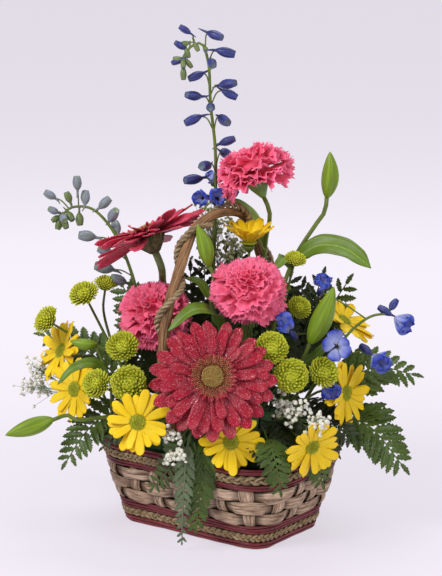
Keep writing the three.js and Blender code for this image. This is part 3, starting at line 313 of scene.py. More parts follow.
def cane(line, radius, sides=8, flat=None):
    """A closed stem along a line. radius(share) is in millimetres, and flat is a pair of
    scales for its section with the direction of the first, such as a vine's."""
    ways = tangents(line)
    side = (flat[2] if flat else ways[0].orthogonal()).normalized()
    frames = []
    for way in ways:
        side = (side - way * side.dot(way)).normalized()
        frames.append((side.copy(), way.cross(side)))
    last = len(line) - 1
    rows = last + 2
    wide, deep = flat[:2] if flat else (1, 1)

    def place(column, row):
        k = round(row * rows)
        centre = min(max(k - 1, 0), last)
        size = 0 if k in (0, rows) else radius(centre / last)
        across, out = frames[centre]
        angle = tau * column
        return line[centre] + (
            across * wide * cos(angle) + out * deep * sin(angle)
        ) * size

    return tidied(formed(sides, rows, place))


def blade(points, widths, face, hollow, wave):
    """A leaf along a smooth line. widths are half widths from root to tip, and it folds
    towards its face by a share of its width."""
    rows, columns, thickness = 22, 6, 0.8
    line = smooth_line(points, rows)
    ways = tangents(line)
    stations = [*widths, 0]
    last = len(stations) - 2

    def place(column, row):
        k = round(row * rows)
        x = 2 * column - 1
        at = row * (last + 1)
        low = min(int(at), last)
        part = bump_between(at, low, low + 1) if low < last else (at - low) ** 1.6
        width = lerp(stations[low], stations[low + 1], part)
        side = ways[k].cross(face).normalized()
        out = side.cross(ways[k]).normalized()
        lift = hollow * width * x * x + wave * abs(x) * sin(14 * row + 3 * x) * row
        return line[k] + side * (width * x) + out * lift

    return thickened(formed(columns, rows, place), thickness)


def lens(columns, rows, radius, half_height, middle, fullness=1.0):
    """A closed lens round +Z. A fullness under 1 gives it a steeper side."""

    def place(column, row):
        size = radius * sin(row * pi) ** fullness
        return around(size, tau * column, middle - half_height * cos(row * pi))

    return tidied(formed(columns, rows, place))


def lathed(profile, sides, ribs=0.0):
    """A closed shape turned round +Z from (radius, height) pairs. Its five ribs grow upwards."""
    last = len(profile) - 1

    def place(column, row):
        size, z = profile[round(row * last)]
        angle = tau * column
        return around(size * (1 + ribs * cos(5 * angle) * row), angle, z)

    return tidied(formed(sides, last, place))


def peg(heights, thick, taper, sides):
    """A short stalk along +Z that gets thinner by its taper."""
    line = [Vector((0, 0, z)) for z in heights]
    return cane(line, lambda share: thick - taper * share, sides)


def petal(columns, rows, reach, half_width, lift, thickness):
    """A petal that grows along +X and faces +Z. reach, half_width and lift take the place
    across it, from -1 to 1, and the share of the way to its tip."""

    def place(column, row):
        x = 2 * column - 1
        share = 1 - (1 - row) ** 1.35
        return Vector((reach(x, share), half_width(x, share) * x, lift(x, share)))

    return thickened(formed(columns, rows, place), thickness)


def round_tip(share, start=0.86):
    """A width factor that closes a petal's tip in a half round."""
    if share <= start:
        return 1
    part = (share - start) / (1 - start)
    return sqrt(max(0, 1 - part * part))


def gathered(name, copies, seed=1):
    """Joins copies of shapes, each (shape, matrix), in one piece, with an uneven tone for each."""
    draw = random.Random(seed)
    made = []
    bpy.ops.object.select_all(action="DESELECT")
    for shape, matrix in copies:
        copy = shape.copy()
        copy.data = shape.data.copy()
        copy.data.transform(matrix)
        tone = copy.data.attributes.new("tone", "FLOAT", "POINT")
        tone.data.foreach_set("value", [draw.random()] * len(copy.data.vertices))
        bpy.context.collection.objects.link(copy)
        copy.select_set(True)
        made.append(copy)
    bpy.context.view_layer.objects.active = made[0]
    if len(made) > 1:
        bpy.ops.object.join()
    piece = bpy.context.object
    piece.name = name
    piece.data.name = name
    return piece


def lengthwise(piece, along, across=1.0):
    """Turns a strand's UVs so that U runs along it, for its streaks."""
    for layer in piece.data.uv_layers[0].data:
        layer.uv = (layer.uv.y * along, layer.uv.x * across)
    return piece


def discard(*shapes):
    for shape in shapes:
        bpy.data.objects.remove(shape)


def united(name, shapes, seed=1):
    """Joins finished shapes in one piece, and removes the shapes."""
    piece = gathered(name, [(shape, Matrix.Identity(4)) for shape in shapes], seed)
    discard(*shapes)
    return piece


def dress(piece, finish, slot, *nodes):
    """Gives a piece its finish and sets it on the frame in place of CAD nodes."""
    piece.data.materials.clear()
    piece.data.materials.append(finish)
    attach(piece, "root")
    if nodes:
        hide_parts(*nodes)
    return piece


def paint_node(node, finish):
    """Gives a CAD node that stays in view its finish."""
    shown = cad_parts[node]
    shown.data.materials.clear()
    shown.data.materials.append(finish)


# Finishes


class Shade:
    """A socket of a material, wrapped so that it can be used in sums."""

    def __init__(self, finish, socket):
        self.finish = finish
        self.socket = socket

    def sum(self, operation, first, second):
        return self.finish.node("ShaderNodeMath", {0: first, 1: second}, operation=operation)

    def __add__(self, other):
        return self.sum("ADD", self, other)

    def __sub__(self, other):
        return self.sum("SUBTRACT", self, other)

    def __rsub__(self, other):
        return self.sum("SUBTRACT", other, self)

    def __mul__(self, other):
        return self.sum("MULTIPLY", self, other)

    def __gt__(self, other):
        return self.sum("GREATER_THAN", self, other)

    def __lt__(self, other):
        return self.sum("LESS_THAN", self, other)

    __radd__ = __add__
    __rmul__ = __mul__


class Finish:
    """A material built from nodes on one shader."""

    def __init__(self, name, **constants):
        self.material = bpy.data.materials.new(name)
        self.material.use_nodes = True
        self.tree = self.material.node_tree
        self.surface = self.tree.nodes["Principled BSDF"]
        for socket, value in constants.items():
            self.surface.inputs[socket.replace("_", " ")].default_value = value

    def node(self, kind, sockets=None, output=0, stops=None, **settings):
        """Adds a node with its settings, a ramp's stops and the values or links of its sockets."""
        added = self.tree.nodes.new(kind)
        for key, value in settings.items():
            setattr(added, key, value)
        if stops:
            ramp = added.color_ramp.elements
            for place, colour in stops[1:-1]:
                ramp.new(place)
            for element, (place, colour) in zip(ramp, stops):
                element.position = place
                element.color = (*colour, 1)
        for key, value in (sockets or {}).items():
            if isinstance(value, Shade):
                self.tree.links.new(value.socket, added.inputs[key])
            else:
                added.inputs[key].default_value = value
        return Shade(self, added.outputs[output])

    def coordinates(self, kind):
        return self.node("ShaderNodeTexCoord", output=kind)

    def stretched(self, vector, across, along):
        return self.node("ShaderNodeMapping", {"Vector": vector, "Scale": (across, along, 1)})

    def noise(self, vector, scale, detail=3.0, roughness=0.55):
        sockets = {"Vector": vector, "Scale": scale, "Detail": detail, "Roughness": roughness}
        return self.node("ShaderNodeTexNoise", sockets)

    def axis(self, vector, name):
        return self.node("ShaderNodeSeparateXYZ", {0: vector}, output=name)

    def mark(self, name):
        """A value that the vertices carry, such as each copy's tone."""
        return self.node("ShaderNodeAttribute", output="Fac", attribute_name=name)

    def mix(self, factor, first, second):
        ends = [c if isinstance(c, Shade) else (*c[:3], 1) for c in (first, second)]
        sockets = {0: factor, 6: ends[0], 7: ends[1]}
        return self.node("ShaderNodeMix", sockets, output=2, data_type="RGBA", clamp_factor=True)

    def feed(self, socket, value):
        self.tree.links.new(value.socket, self.surface.inputs[socket])

    def bump(self, height, strength, distance):
        sockets = {"Height": height, "Strength": strength, "Distance": distance * MM}
        self.feed("Normal", self.node("ShaderNodeBump", sockets))


def shaded(colour, factor):
    return tuple(min(1, c * factor) for c in colour[:3])


def toward(colour, other, share):
    return tuple(lerp(a, b, share) for a, b in zip(colour[:3], other[:3]))


def strand_finish(name, colour, along, across, roughness, contrast=0.6, bleach=0.25):
    """Dry wood, grass or reed, with streaks along the piece's length, and painted shade where a
    point lies deep in the weave.
    """
    finish = Finish(name, Roughness=roughness, Specular_IOR_Level=0.35)
    place = finish.stretched(finish.coordinates("UV"), along, across)
    tone = finish.mark("tone")
    shifted = finish.node("ShaderNodeCombineXYZ", {0: tone * 37, 1: tone * 11, 2: tone * 5})
    place = finish.node("ShaderNodeVectorMath", {0: place, 1: shifted}, operation="ADD")
    streak = finish.noise(place, 1.0, 5, 0.65)
    fibre = finish.noise(place, 3.2, 4, 0.7)
    dark = shaded(colour, 1 - contrast)
    light = toward(shaded(colour, 1.5), (0.9, 0.82, 0.66), bleach)
    base = finish.mix((streak - 0.38) * 4.2, dark, light)
    patched = finish.mix((fibre - 0.46) * 2.2, base, colour)
    patch = finish.noise(finish.coordinates("Object"), 34, 2)
    patched = finish.mix((patch - 0.5) * 2.4, patched, shaded(colour, 0.55))
    tone_and_painted_shade = finish.mix(tone * 0.4, patched, shaded(colour, 0.42))
    # Painted shade: points marked deep in the weave are painted nearly black, as the shade in the
    # gaps between the strands.
    tone_and_painted_shade = finish.mix(finish.mark("depth") * 0.97, tone_and_painted_shade, shaded(colour, 0.06))
    finish.feed("Base Color", tone_and_painted_shade)
    finish.feed("Roughness", roughness - 0.15 + 0.3 * fibre)
    finish.bump(streak + 0.5 * fibre, 0.55, 0.5)
    return finish.material


def petal_finish(name, root, tip, vein, veins=9, roughness=0.5, depth=0.35, glitter=0.0):
    """A petal whose colour runs from root to tip, with fine veins along it."""
    finish = Finish(
        name,
        Roughness=roughness,
        Specular_IOR_Level=0.3,
        Sheen_Weight=0.04,
        Subsurface_Weight=0.08,
        Subsurface_Scale=0.002,
    )
    place = finish.coordinates("UV")
    along = finish.axis(place, "Y")
    line = finish.noise(finish.stretched(place, veins, 1.2), 1.6, 2)
    cloud = finish.noise(finish.coordinates("Object"), 90, 2)
    colour = finish.mix(along * 1.15 - 0.05, root, tip)
    colour = finish.mix((line - 0.48) * 4 * depth, colour, vein)
    colour = finish.mix(finish.mark("tone") * 0.3, colour, shaded(vein, 0.85))
    colour = finish.mix((cloud - 0.45) * 0.9, colour, toward(tip, (1, 1, 1), 0.08))
    rough = roughness - 0.08 + 0.2 * cloud
    if glitter:
        fleck = {"Vector": finish.coordinates("Object"), "Scale": 1500.0}
        near = finish.node("ShaderNodeTexVoronoi", fleck, output="Distance")
        draw = finish.node("ShaderNodeTexVoronoi", fleck, output="Color")
        # Glitter flecks: real glitter, each fleck painted pinkish white as its glint, with a little
        # metal and less roughness.
        lit = (near < 0.3) * (finish.axis(draw, "X") > 1 - 2 * glitter * cloud)
        colour = finish.mix(lit * 0.9, colour, (1.0, 0.66, 0.66))
        rough = rough - 0.25 * lit
        finish.feed("Metallic", lit * 0.35)
    finish.feed("Base Color", colour)
    finish.feed("Roughness", rough)
    finish.bump(line + 0.4 * cloud, 0.35, 0.35)
    return finish.material


def leaf_finish(name, colour, rib, veins=12, roughness=0.38, parallel=True):
    """A leaf with a pale middle rib and fine veins."""
    finish = Finish(name, Roughness=roughness, Specular_IOR_Level=0.32, Coat_Roughness=0.35)
    place = finish.coordinates("UV")
    across = finish.axis(place, "X")
    rib_shows = finish.node("ShaderNodeMath", {0: across - 0.5}, operation="ABSOLUTE") < 0.03
    grain = finish.stretched(place, *((veins, 0.8) if parallel else (2.0, veins)))
    line = finish.noise(grain, 1.5, 2)
    cloud = finish.noise(finish.coordinates("Object"), 60, 3)
    shade = finish.mix((cloud - 0.4) * 1.8, shaded(colour, 0.62), shaded(colour, 1.35))
    shade = finish.mix((line - 0.45) * 1.3, shade, shaded(colour, 0.7))
    shade = finish.mix(finish.mark("tone") * 0.35, shade, toward(colour, rib, 0.5))
    shade = finish.mix(rib_shows * 0.4, shade, rib)
    finish.feed("Base Color", shade)
    finish.feed("Roughness", roughness - 0.08 + 0.25 * cloud)
    finish.feed("Coat Weight", 0.04 + 0.14 * cloud)
    finish.bump(line + 0.6 * cloud - rib_shows * 0.6, 0.4, 0.4)
    return finish.material


def soft_finish(name, low, high, scale, roughness=0.6, strength=0.4, distance=0.3):
    """A mottled finish between two colours, for stems, discs, blossoms and foam."""
    finish = Finish(name, Roughness=roughness, Specular_IOR_Level=0.35)
    place = finish.coordinates("Object")
    cloud = finish.noise(place, scale, 3)
    fine = finish.noise(place, 6 * scale, 2)
    colour = finish.mix((cloud - 0.35) * 2.6, low, high)
    colour = finish.mix(finish.mark("tone") * 0.3, colour, shaded(low, 0.8))
    finish.feed("Base Color", colour)
    finish.feed("Roughness", roughness - 0.1 + 0.25 * fine)
    finish.bump(cloud + 0.5 * fine, strength, distance)
    return finish.material


def pale_rib():
    """The colour of the middle rib of a glossy leaf."""
    return toward(colours().leaf, (0.7, 0.9, 0.3), 0.4)


def bud_finish(name, low, high, stripes, tip=None):
    """A bud with stripes along it and a tip of another colour."""
    finish = Finish(name, Roughness=0.42, Specular_IOR_Level=0.4)
    place = finish.coordinates("UV")
    line = finish.noise(finish.stretched(place, stripes, 0.7), 2.0, 2)
    cloud = finish.noise(finish.coordinates("Object"), 120, 2)
    colour = finish.mix((line - 0.35) * 2.4, low, high)
    colour = finish.mix(finish.mark("tone") * 0.35, colour, shaded(low, 0.8))
    if tip:
        colour = finish.mix((finish.axis(place, "Y") - 0.66) * 3.5, colour, tip)
    finish.feed("Base Color", colour)
    finish.feed("Roughness", 0.32 + 0.25 * cloud)
    finish.bump(line + 0.3 * cloud, 0.35, 0.4)
    return finish.material


# The basket


def outline_at(height, out):
    share = height / BASKET_HEIGHT
    return (
        lerp(BASE_LONG, RIM_LONG, share) / 2 + out,
        lerp(BASE_SHORT, RIM_SHORT, share) / 2 + out,
        lerp(BASE_CORNER, RIM_CORNER, share) + out,
    )


def basket_point(share, height, out):
    """A point on the basket's outline, a share of the way round from the middle of the front."""
    half_long, half_short, corner = outline_at(height, out)
    middle_long, middle_short, middle_corner = outline_at(BASKET_HEIGHT / 2, 0)
    a, b = half_long - corner, half_short - corner
    long, short = 2 * (middle_long - middle_corner), 2 * (middle_short - middle_corner)
    arc = pi / 2 * middle_corner
    distance = (share % 1) * 2 * (long + short + 2 * arc) + long / 2
    for side in range(5):  # the front again at the end
        straight, reach, depth = (short, b, a) if side % 2 else (long, a, b)
        if distance <= straight or side == 4:
            x, y = lerp(-reach, reach, distance / straight), -depth - corner
            break
        distance -= straight
        if distance <= arc:
            angle = (distance / arc - 1) * pi / 2
            x, y = reach + corner * cos(angle), corner * sin(angle) - depth
            break
        distance -= arc
    turn = side * pi / 2
    return Vector((x * cos(turn) - y * sin(turn), x * sin(turn) + y * cos(turn), height))


def wall_distance(point):
    """How far outside the basket's outline a point in millimetres lies, at its height."""
    half_long, half_short, corner = outline_at(point.z, 0)
    x = abs(point.x) - half_long + corner
    y = abs(point.y) - half_short + corner
    return hypot(max(x, 0), max(y, 0)) + min(max(x, y), 0) - corner


def mark_painted_shade(piece, low, high):
    """Marks how deep each point of a woven piece lies, for its finish to paint shade there: deep
    points are painted nearly black, as the shade between the strands.
    """
    depth = piece.data.attributes.new("depth", "FLOAT", "POINT")
    for mark, vertex in zip(depth.data, piece.data.vertices):
        mark.value = 1 - bump_between(wall_distance(vertex.co / MM), low, high)
    return piece


def weave_phase(share, row):
    """1 where a weaver passes outside a stake, -1 where it passes inside."""
    return cos(pi * (share * sizes().stakes + row))


def rounded_square(wave):
    """Flattens a wave's tops, so that a strand's section is a rounded rectangle."""
    return copysign(abs(wave) ** 0.6, wave)


def weaver(row):
    """One splint that runs round the basket, over and under the stakes."""
    middle = WEAVE_LOW + (row + 0.5) * ROW_HEIGHT
    bulge = sizes().weave_bulge / MM
    thick = sizes().splint_thickness / MM

    def place(share, angle):
        phase = weave_phase(share, row)
        over = 0.5 + 0.5 * copysign(abs(phase) ** 0.42, phase)
        lap = tau * share
        waver = 0.9 * sin(7 * lap + row * 2) + 0.8 * sin(15 * lap + row)
        half = 4.7 + 1.1 * over + 0.6 * sin(10 * lap + row * 5) * over
        edge, face = rounded_square(sin(angle)), rounded_square(cos(angle))
        crown = 0.7 * over * (1 - edge * edge) + 0.35 * over * sin(6 * angle + 9 * lap)
        out = 0.9 + (bulge - 0.2) * over + 0.5 * thick * face + crown
        return basket_point(share, middle + waver * 0.5 + half * edge, out)

    return hoop(18 * sizes().stakes, 14, place)


def stake(index):
    """One upright splint, outside the weavers that pass inside it."""
    share = index / sizes().stakes
    half = sizes().stake_width / MM / 2 / OUTLINE_LENGTH
    bulge = sizes().weave_bulge / MM

    def place(column, row):
        z = lerp(STAKE_LOW, STAKE_HIGH, row)
        at = (z - WEAVE_LOW) / ROW_HEIGHT - 0.5
        under = -weave_phase(share, 0) * cos(pi * at)
        shown = bump_between(z, WEAVE_LOW - 2, WEAVE_LOW + 3)
        shown *= bump_between(z, WEAVE_HIGH + 3, WEAVE_HIGH - 2)
        out = 0.5 + (0.5 + 0.5 * under) * (bulge - 0.3) * shown
        crown = 0.5 * (1 - (2 * column - 1) ** 2)
        lean = 0.5 * uneven(index, 4) * (row - 0.5) / 100
        return basket_point(share + (2 * column - 1) * half + lean, z, out + crown)

    return lengthwise(thickened(formed(4, 30, place), sizes().splint_thickness / MM), 0.14, 0.4)


def build_weave():
    wood = strand_finish("splint wood", colours().splint, 34, 16, 0.62, 0.8, 0.42)
    # The lining takes a fifth of the splint colour: painted shade of the basket's inside, which
    # shows through the gaps in the weave.
    dark = strand_finish("inner splints in painted shade", shaded(colours().splint, 0.2), 60, 9, 0.8, 0.5)
    splints = [stake(index) for index in range(sizes().stakes)]
    splints += [weaver(row) for row in range(WEAVE_ROWS)]
    wall = mark_painted_shade(united("basket_weave", splints, 3), 0.9, 3.0)
    dress(wall, wood, "splint", "basket_wall")

    def liner(share, angle):
        corner = int(angle / (pi / 2) + 0.5) % 4
        out = LINING_INSIDE if corner in (1, 2) else LINING_OUTSIDE
        return basket_point(share, 0.4 if corner in (2, 3) else BASKET_HEIGHT - 0.2, out)

    dress(united("basket_lining", [hoop(160, 4, liner)]), dark, "splint", "basket_wall")

    def floor_weave(column, row):
        x, y = lerp(-1, 1, column), lerp(-1, 1, row)
        weave = 0.4 * sin(x * 22) * sin(y * 14) * (max(abs(x), abs(y)) < 0.98)
        rounded_x, rounded_y = x * (1 - 0.05 * y * y), y * (1 - 0.08 * x * x)
        half_long, half_short = BOTTOM_HALF_LONG, BOTTOM_HALF_SHORT
        return Vector((rounded_x * half_long, rounded_y * half_short, BOTTOM_MIDDLE + weave))

    bottom = thickened(formed(72, 48, floor_weave), BOTTOM_THICK)
    dress(united("basket_bottom", [bottom]), wood, "splint", "basket_base")


def reed(height, out, radius, seed):
    """A round reed that runs round the basket, with small waves."""
    wobble = 0.25

    def place(share, angle):
        z = height + wobble * sin(tau * share * 7 + seed)
        swell = radius * (1 + 0.06 * sin(tau * share * 23 + 2 * seed))
        away = out + 0.5 * wobble * sin(tau * share * 11 + seed * 3)
        return basket_point(share, z + swell * sin(angle), away + swell * cos(angle))

    return hoop(260, 8, place)


def build_reeds():
    dyed = strand_finish("dyed reed", colours().reed, 24, 7, 0.42, 0.6, 0.04)
    bands = {  # each reed's height, its distance outside the outline and its radius
        "foot_band": [(1.75, 1.9, 1.7), (5.0, 2.0, 1.65)],
        "lower_band": [(16.0, 1.7, 1.35), (18.6, 1.8, 1.4), (21.2, 1.7, 1.3)],
        "upper_band": [(57.9, 1.7, 1.4), (60.6, 1.8, 1.4)],
        "rim_band": [(72.9, 1.9, 1.6), (72.9, -1.4, 1.5), (72.9, -4.0, 1.4), (75.2, 0.3, 1.55)],
    }
    for node, reeds in bands.items():
        shapes = [reed(*measures, k + len(node)) for k, measures in enumerate(reeds)]
        band = united(f"{node}_reeds", shapes, len(node))
        if node != "rim_band":
            mark_painted_shade(band, 1.2, 3.0)
        dress(band, dyed, "burgundy", node)


def plait(low, high, thick, crossings):
    """Three strands of grass that cross each other in turn round the basket."""
    middle, swing = (low + high) / 2, (high - low) / 2 - 1.5
    shapes = []
    for strand in range(3):

        def place(share, angle, start=tau * strand / 3):
            at = tau * crossings * share + start
            z = middle + swing * sin(at)
            out = 1.9 + (thick / 2 - 1.2) * sin(2 * at)
            ridge = 1 + 0.14 * cos(3 * angle + 9 * at)
            z += 1.95 * ridge * sin(angle)
            return basket_point(share, z, out + 1.4 * ridge * cos(angle))

        shapes.append(hoop(crossings * 16, 9, place))
    return shapes


def build_braids():
    grass = strand_finish("plaited grass", colours().grass, 90, 8, 0.75, 0.85, 0.3)
    # Each braid's lowest and highest point, its thickness and its crossings
    bands = {"rim_braid": (62.6, 70.8, 4.1, 32), "lower_braid": (7.0, 14.6, 3.9, 26)}
    for node, measures in bands.items():
        band = mark_painted_shade(united(f"{node}_strands", plait(*measures), 5), 1.5, 3.5)
        dress(band, grass, "braid", node)


# The handle


def handle_line(count):
    rising = [Vector((0, y, z)) for y, z in HANDLE_FRONT]
    falling = [Vector((0, -point.y, point.z)) for point in reversed(rising)]
    return smooth_line([*rising, Vector((0, 0, HANDLE_TOP)), *falling], count)


def build_handle():
    bark = strand_finish("vine bark", colours().vine, 5, 20, 0.72, 0.78, 0.05)
    wide = sizes().vine_half_width / MM
    deep = sizes().vine_half_thickness / MM
    line = handle_line(150)
    across = Vector((1, 0, 0))
    vine = cane(line, lambda share: 1, 16, (wide, deep, across))
    for vertex in vine.data.vertices:
        place = vertex.co / MM
        knot = noise.noise(Vector((place.x * 0.9, place.y * 0.09, place.z * 0.09)))
        twist = noise.noise(Vector((place.x * 0.3, place.y * 0.03 + 9, place.z * 0.03)))
        centre = min(line, key=lambda point: (point - place).length_squared)
        vertex.co += (place - centre) * MM * (0.16 * knot + 0.12 * twist)
    dress(united("handle_vine", [lengthwise(vine, 5)]), bark, "vine", "handle_core")

    radius = sizes().cord_radius / MM
    steps, reach = 640, 6.5  # reach is from the vine's middle to the cord's
    fine = handle_line(steps)
    ways = tangents(fine)
    cords = []
    for strand in range(2):
        path = []
        for k in range(int(CORD_START * steps), int((1 - CORD_START) * steps) + 1):
            share = (k / steps - CORD_START) / (1 - 2 * CORD_START)
            out = ways[k].cross(across).normalized()
            twist = tau * CORD_TWISTS * share + pi * strand
            gap = 1.45 * radius + radius * cos(twist)
            wind = tau * CORD_TURNS * share + radius / reach * sin(twist)
            beside = across * (wide + gap) * cos(wind) + out * (deep + gap) * sin(wind)
            path.append(fine[k] + beside)
        cords.append(lengthwise(cane(path, lambda share: radius, 6), 2.5))
    twine = shaded(colours().grass, 0.74)
    grass = strand_finish("twisted grass", twine, 36, 9, 0.75, 0.85, 0.25)
    dress(united("handle_cord", cords, 4), grass, "cord", "handle_wrap")


def build_inside():
    paint_node("foam", soft_finish("wet foam", rgb("2c4a2a"), rgb("49663f"), 260, 0.9, 0.8, 0.8))
    plastic = soft_finish("green plastic", rgb("1c3122"), rgb("24402c"), 40, 0.4, 0.1, 0.1)
    paint_node("tray", plastic)


# Stems


def stem_shape(base, axis, way, radius):
    """A stem from the foam to a base. Its last 14 mm lie along an axis."""
    points = [*way, base - axis * 14, base]
    return cane(rooted(points, 12, 26, way[0] if way else base), lambda share: radius)


def main_stem(fork, radius):
    return cane(rooted([fork], 10, 12), lambda share: radius, 7)


def branch(fork, base, axis, radius):
    apart = (fork - base).length
    points = [fork - UP * radius, base - axis * 0.35 * apart, base]
    return cane(smooth_line(points, 12), lambda share: radius * (1.15 - 0.3 * share), 7)


def cup(top, radius, depth, neck, sides):
    """A turned cup under a head: from its neck up to the rim at the petals."""
    profile = [
        (0, -1), (neck, -1), (0.8 * radius, -0.55), (radius, -0.15), (0.92 * radius, 0), (0, 0)
    ]
    return lathed([(size, top + z * depth) for size, z in profile], sides)


def fresh_green():
    """The finish of the thinner stems."""
    stem = colours().stem
    return soft_finish("fresh stem", shaded(stem, 0.7), shaded(stem, 1.2), 70, 0.5)


# Gerberas


def broadened(share, root, full):
    """A half width's growth from a share at a petal's root to 1 where it is full."""
    return root + (1 - root) * sin(min(1, share / full) * pi / 2)


def grooved(x, share, depth):
    """Two grooves along a petal, which fade at its ends."""
    return -depth * abs(sin(1.5 * pi * x)) * sin(pi * share) ** 0.5


def gerbera_ray(radius, half, slope, droop, low, seed):
    """A long petal with two grooves and a blunt tip."""
    start = 9

    def lift(x, share):
        out = share * (radius - start)
        curl = 0.9 * x * x * share + 0.8 * sin(seed + 3 * share) * x
        return low + slope * out - droop * out * out + grooved(x, share, 0.5) + curl

    def width(x, share):
        return half * broadened(share, 0.4, 0.65) * round_tip(share, 0.8)

    def reach(x, share):
        return lerp(start, radius, share) - 0.8 * (0.5 - 0.5 * cos(3 * pi * x)) * share**9

    return petal(6, 12, reach, width, lift, 0.7)


def build_gerberas():
    red = colours().gerbera
    lighter = toward(red, rgb("f0486e"), 0.5)
    glittered = {"veins": 8, "roughness": 0.42, "depth": 0.5, "glitter": 0.26}
    looks = {
        "front": petal_finish(
            "gerbera petal", shaded(red, 0.5), red, shaded(red, 0.45), **glittered
        ),
        "left": petal_finish(
            "gerbera underside", shaded(lighter, 0.6), lighter, shaded(lighter, 0.55), **glittered
        ),
    }
    gold = soft_finish("gerbera disc", shaded(colours().gerbera_disc, 0.8), rgb("dcc078"), 500, 0.7)
    rust = soft_finish("gerbera stamens", rgb("9c4c38"), rgb("dcae70"), 420, 0.7)
    green = soft_finish("gerbera stem", rgb("5d6a3a"), rgb("93a06a"), 90, 0.6)
    scaly = soft_finish("gerbera cup", rgb("4a4226"), rgb("7d7450"), 160, 0.7)
    full = sizes().gerbera_radius / MM
    layers = [  # count, turn in degrees, then the ray's radius, half width, slope, droop, height
        (22, 0, full, 5.9, 0.02, 0.0012, -2.2),
        (21, 8, 0.88 * full, 5.3, 0.08, 0.0007, -0.4),
        (9, 3, 0.7 * full, 4.2, 0.12, 0.0004, 1.2),
        (38, 5, 0.39 * full, 1.3, 0.3, 0.0, 2.4),
    ]
    rays = [[gerbera_ray(*shape, seed) for seed in (0, 1.7, 3.9)] for _, _, *shape in layers]
    floret = peg((0, 1.2, 2.0), 0.62, 0.3, 5)
    hair = peg((0, 2.4, 3.6), 0.5, 0.15, 4)
    scale = petal(2, 5, lambda x, s: 10 * s, lambda x, s: 2.1 * (1 - s**2), lambda x, s: 0, 0.5)
    disc_radius, dome_radius = 16.4, 9.2
    dome = lens(24, 6, 9.4, 5.0, 1.0, 0.6)
    blooms = {  # place, facing, way of the stem and how loose the rays are
        "front": (seen(-6, -98, 157), facing(0.03, -0.95, 0.3), [], 3.5),
        "left": (seen(-62, 5, 257), facing(-0.38, 0.2, 0.9), [seen(-49, 33, 200)], 10),
    }
    draw = random.Random(11)
    for name, (at, face, way, loose) in blooms.items():
        head = turned(at, face)
        copies = []
        for kinds, (count, turn, *_) in zip(rays, layers):
            for k in range(count):
                spin = tau * (k + 0.18 * draw.uniform(-1, 1)) / count + radians(turn)
                tilt = radians(draw.uniform(-loose, loose))
                roll = radians(3.2 * draw.uniform(-loose, loose))
                matrix = head @ posed(spin, rise=tilt, roll=roll)
                rising = max(0, matrix.col[0].z)
                size = 1 - 0.045 * draw.random() - 0.13 * rising * (name == "front")
                copies.append((draw.choice(kinds), matrix @ Matrix.Scale(size, 4)))
        petals = gathered(f"gerbera_{name}_rays", copies, 7)
        dress(petals, looks[name], "gerbera", f"gerbera_{name}_petals")
        florets, hairs = [(dome, head)], []
        for k, out, place in spiral(420, disc_radius):
            if out < dome_radius:
                place.z = 4.6 + 1.3 * cos(1.5 * out / dome_radius)
                lean = place.normalized() * 0.35 + UP
                florets.append((floret, head @ turned(place, lean.normalized())))
            else:
                lean = place.normalized() * 0.5 + UP
                place.z = 2.8 + 0.6 * sin(k)
                hairs.append((hair, head @ turned(place, lean.normalized(), k)))
        node = f"gerbera_{name}_stem"
        dress(gathered(f"gerbera_{name}_disc", florets, 8), gold, "stem", node)
        dress(gathered(f"gerbera_{name}_stamens", hairs, 9), rust, "stem", node)
        shell = cup(-3.2, 12.8, 15, 3.8, 24)
        bracts = [(shell, head)]
        for k in range(36):
            ring = k // 12
            at_ring = (4.2 + 3.0 * ring, 0, -17.4 + 3.4 * ring)
            lie = posed(tau * (k + 0.5 * ring) / 12, at_ring, -radians(46 + 6 * ring))
            bracts.append((scale, head @ lie))
        dress(gathered(f"gerbera_{name}_cup", bracts, 10), scaly, "stem", node)
        discard(shell)
        stalk = stem_shape(at - face * 16, face, way, 3.2)
        dress(united(f"gerbera_{name}_stalk", [stalk]), green, "stem", node)
    discard(floret, hair, scale, dome, *[ray for kinds in rays for ray in kinds])


# Carnations


def ruffled_petal(radius, seed):
    """A fan-shaped petal with a pinked and waved edge."""

    def reach(x, share):
        tooth = abs((x * 6.5 + seed) % 1 - 0.5) * 2
        round_off = 3.4 * x * x * share**2
        return lerp(3, radius, share) - round_off + (4.6 * tooth - 2.2) * share**7

    def width(x, share):
        return lerp(1.6, 15, share**1.2)

    def lift(x, share):
        wide = 3.2 * share**2 * sin(5.2 * x + seed)
        narrow = 1.6 * share**4 * sin(12.5 * x + 2.3 * seed)
        return wide + narrow - 1.8 * share**3

    return petal(26, 8, reach, width, lift, 0.4)


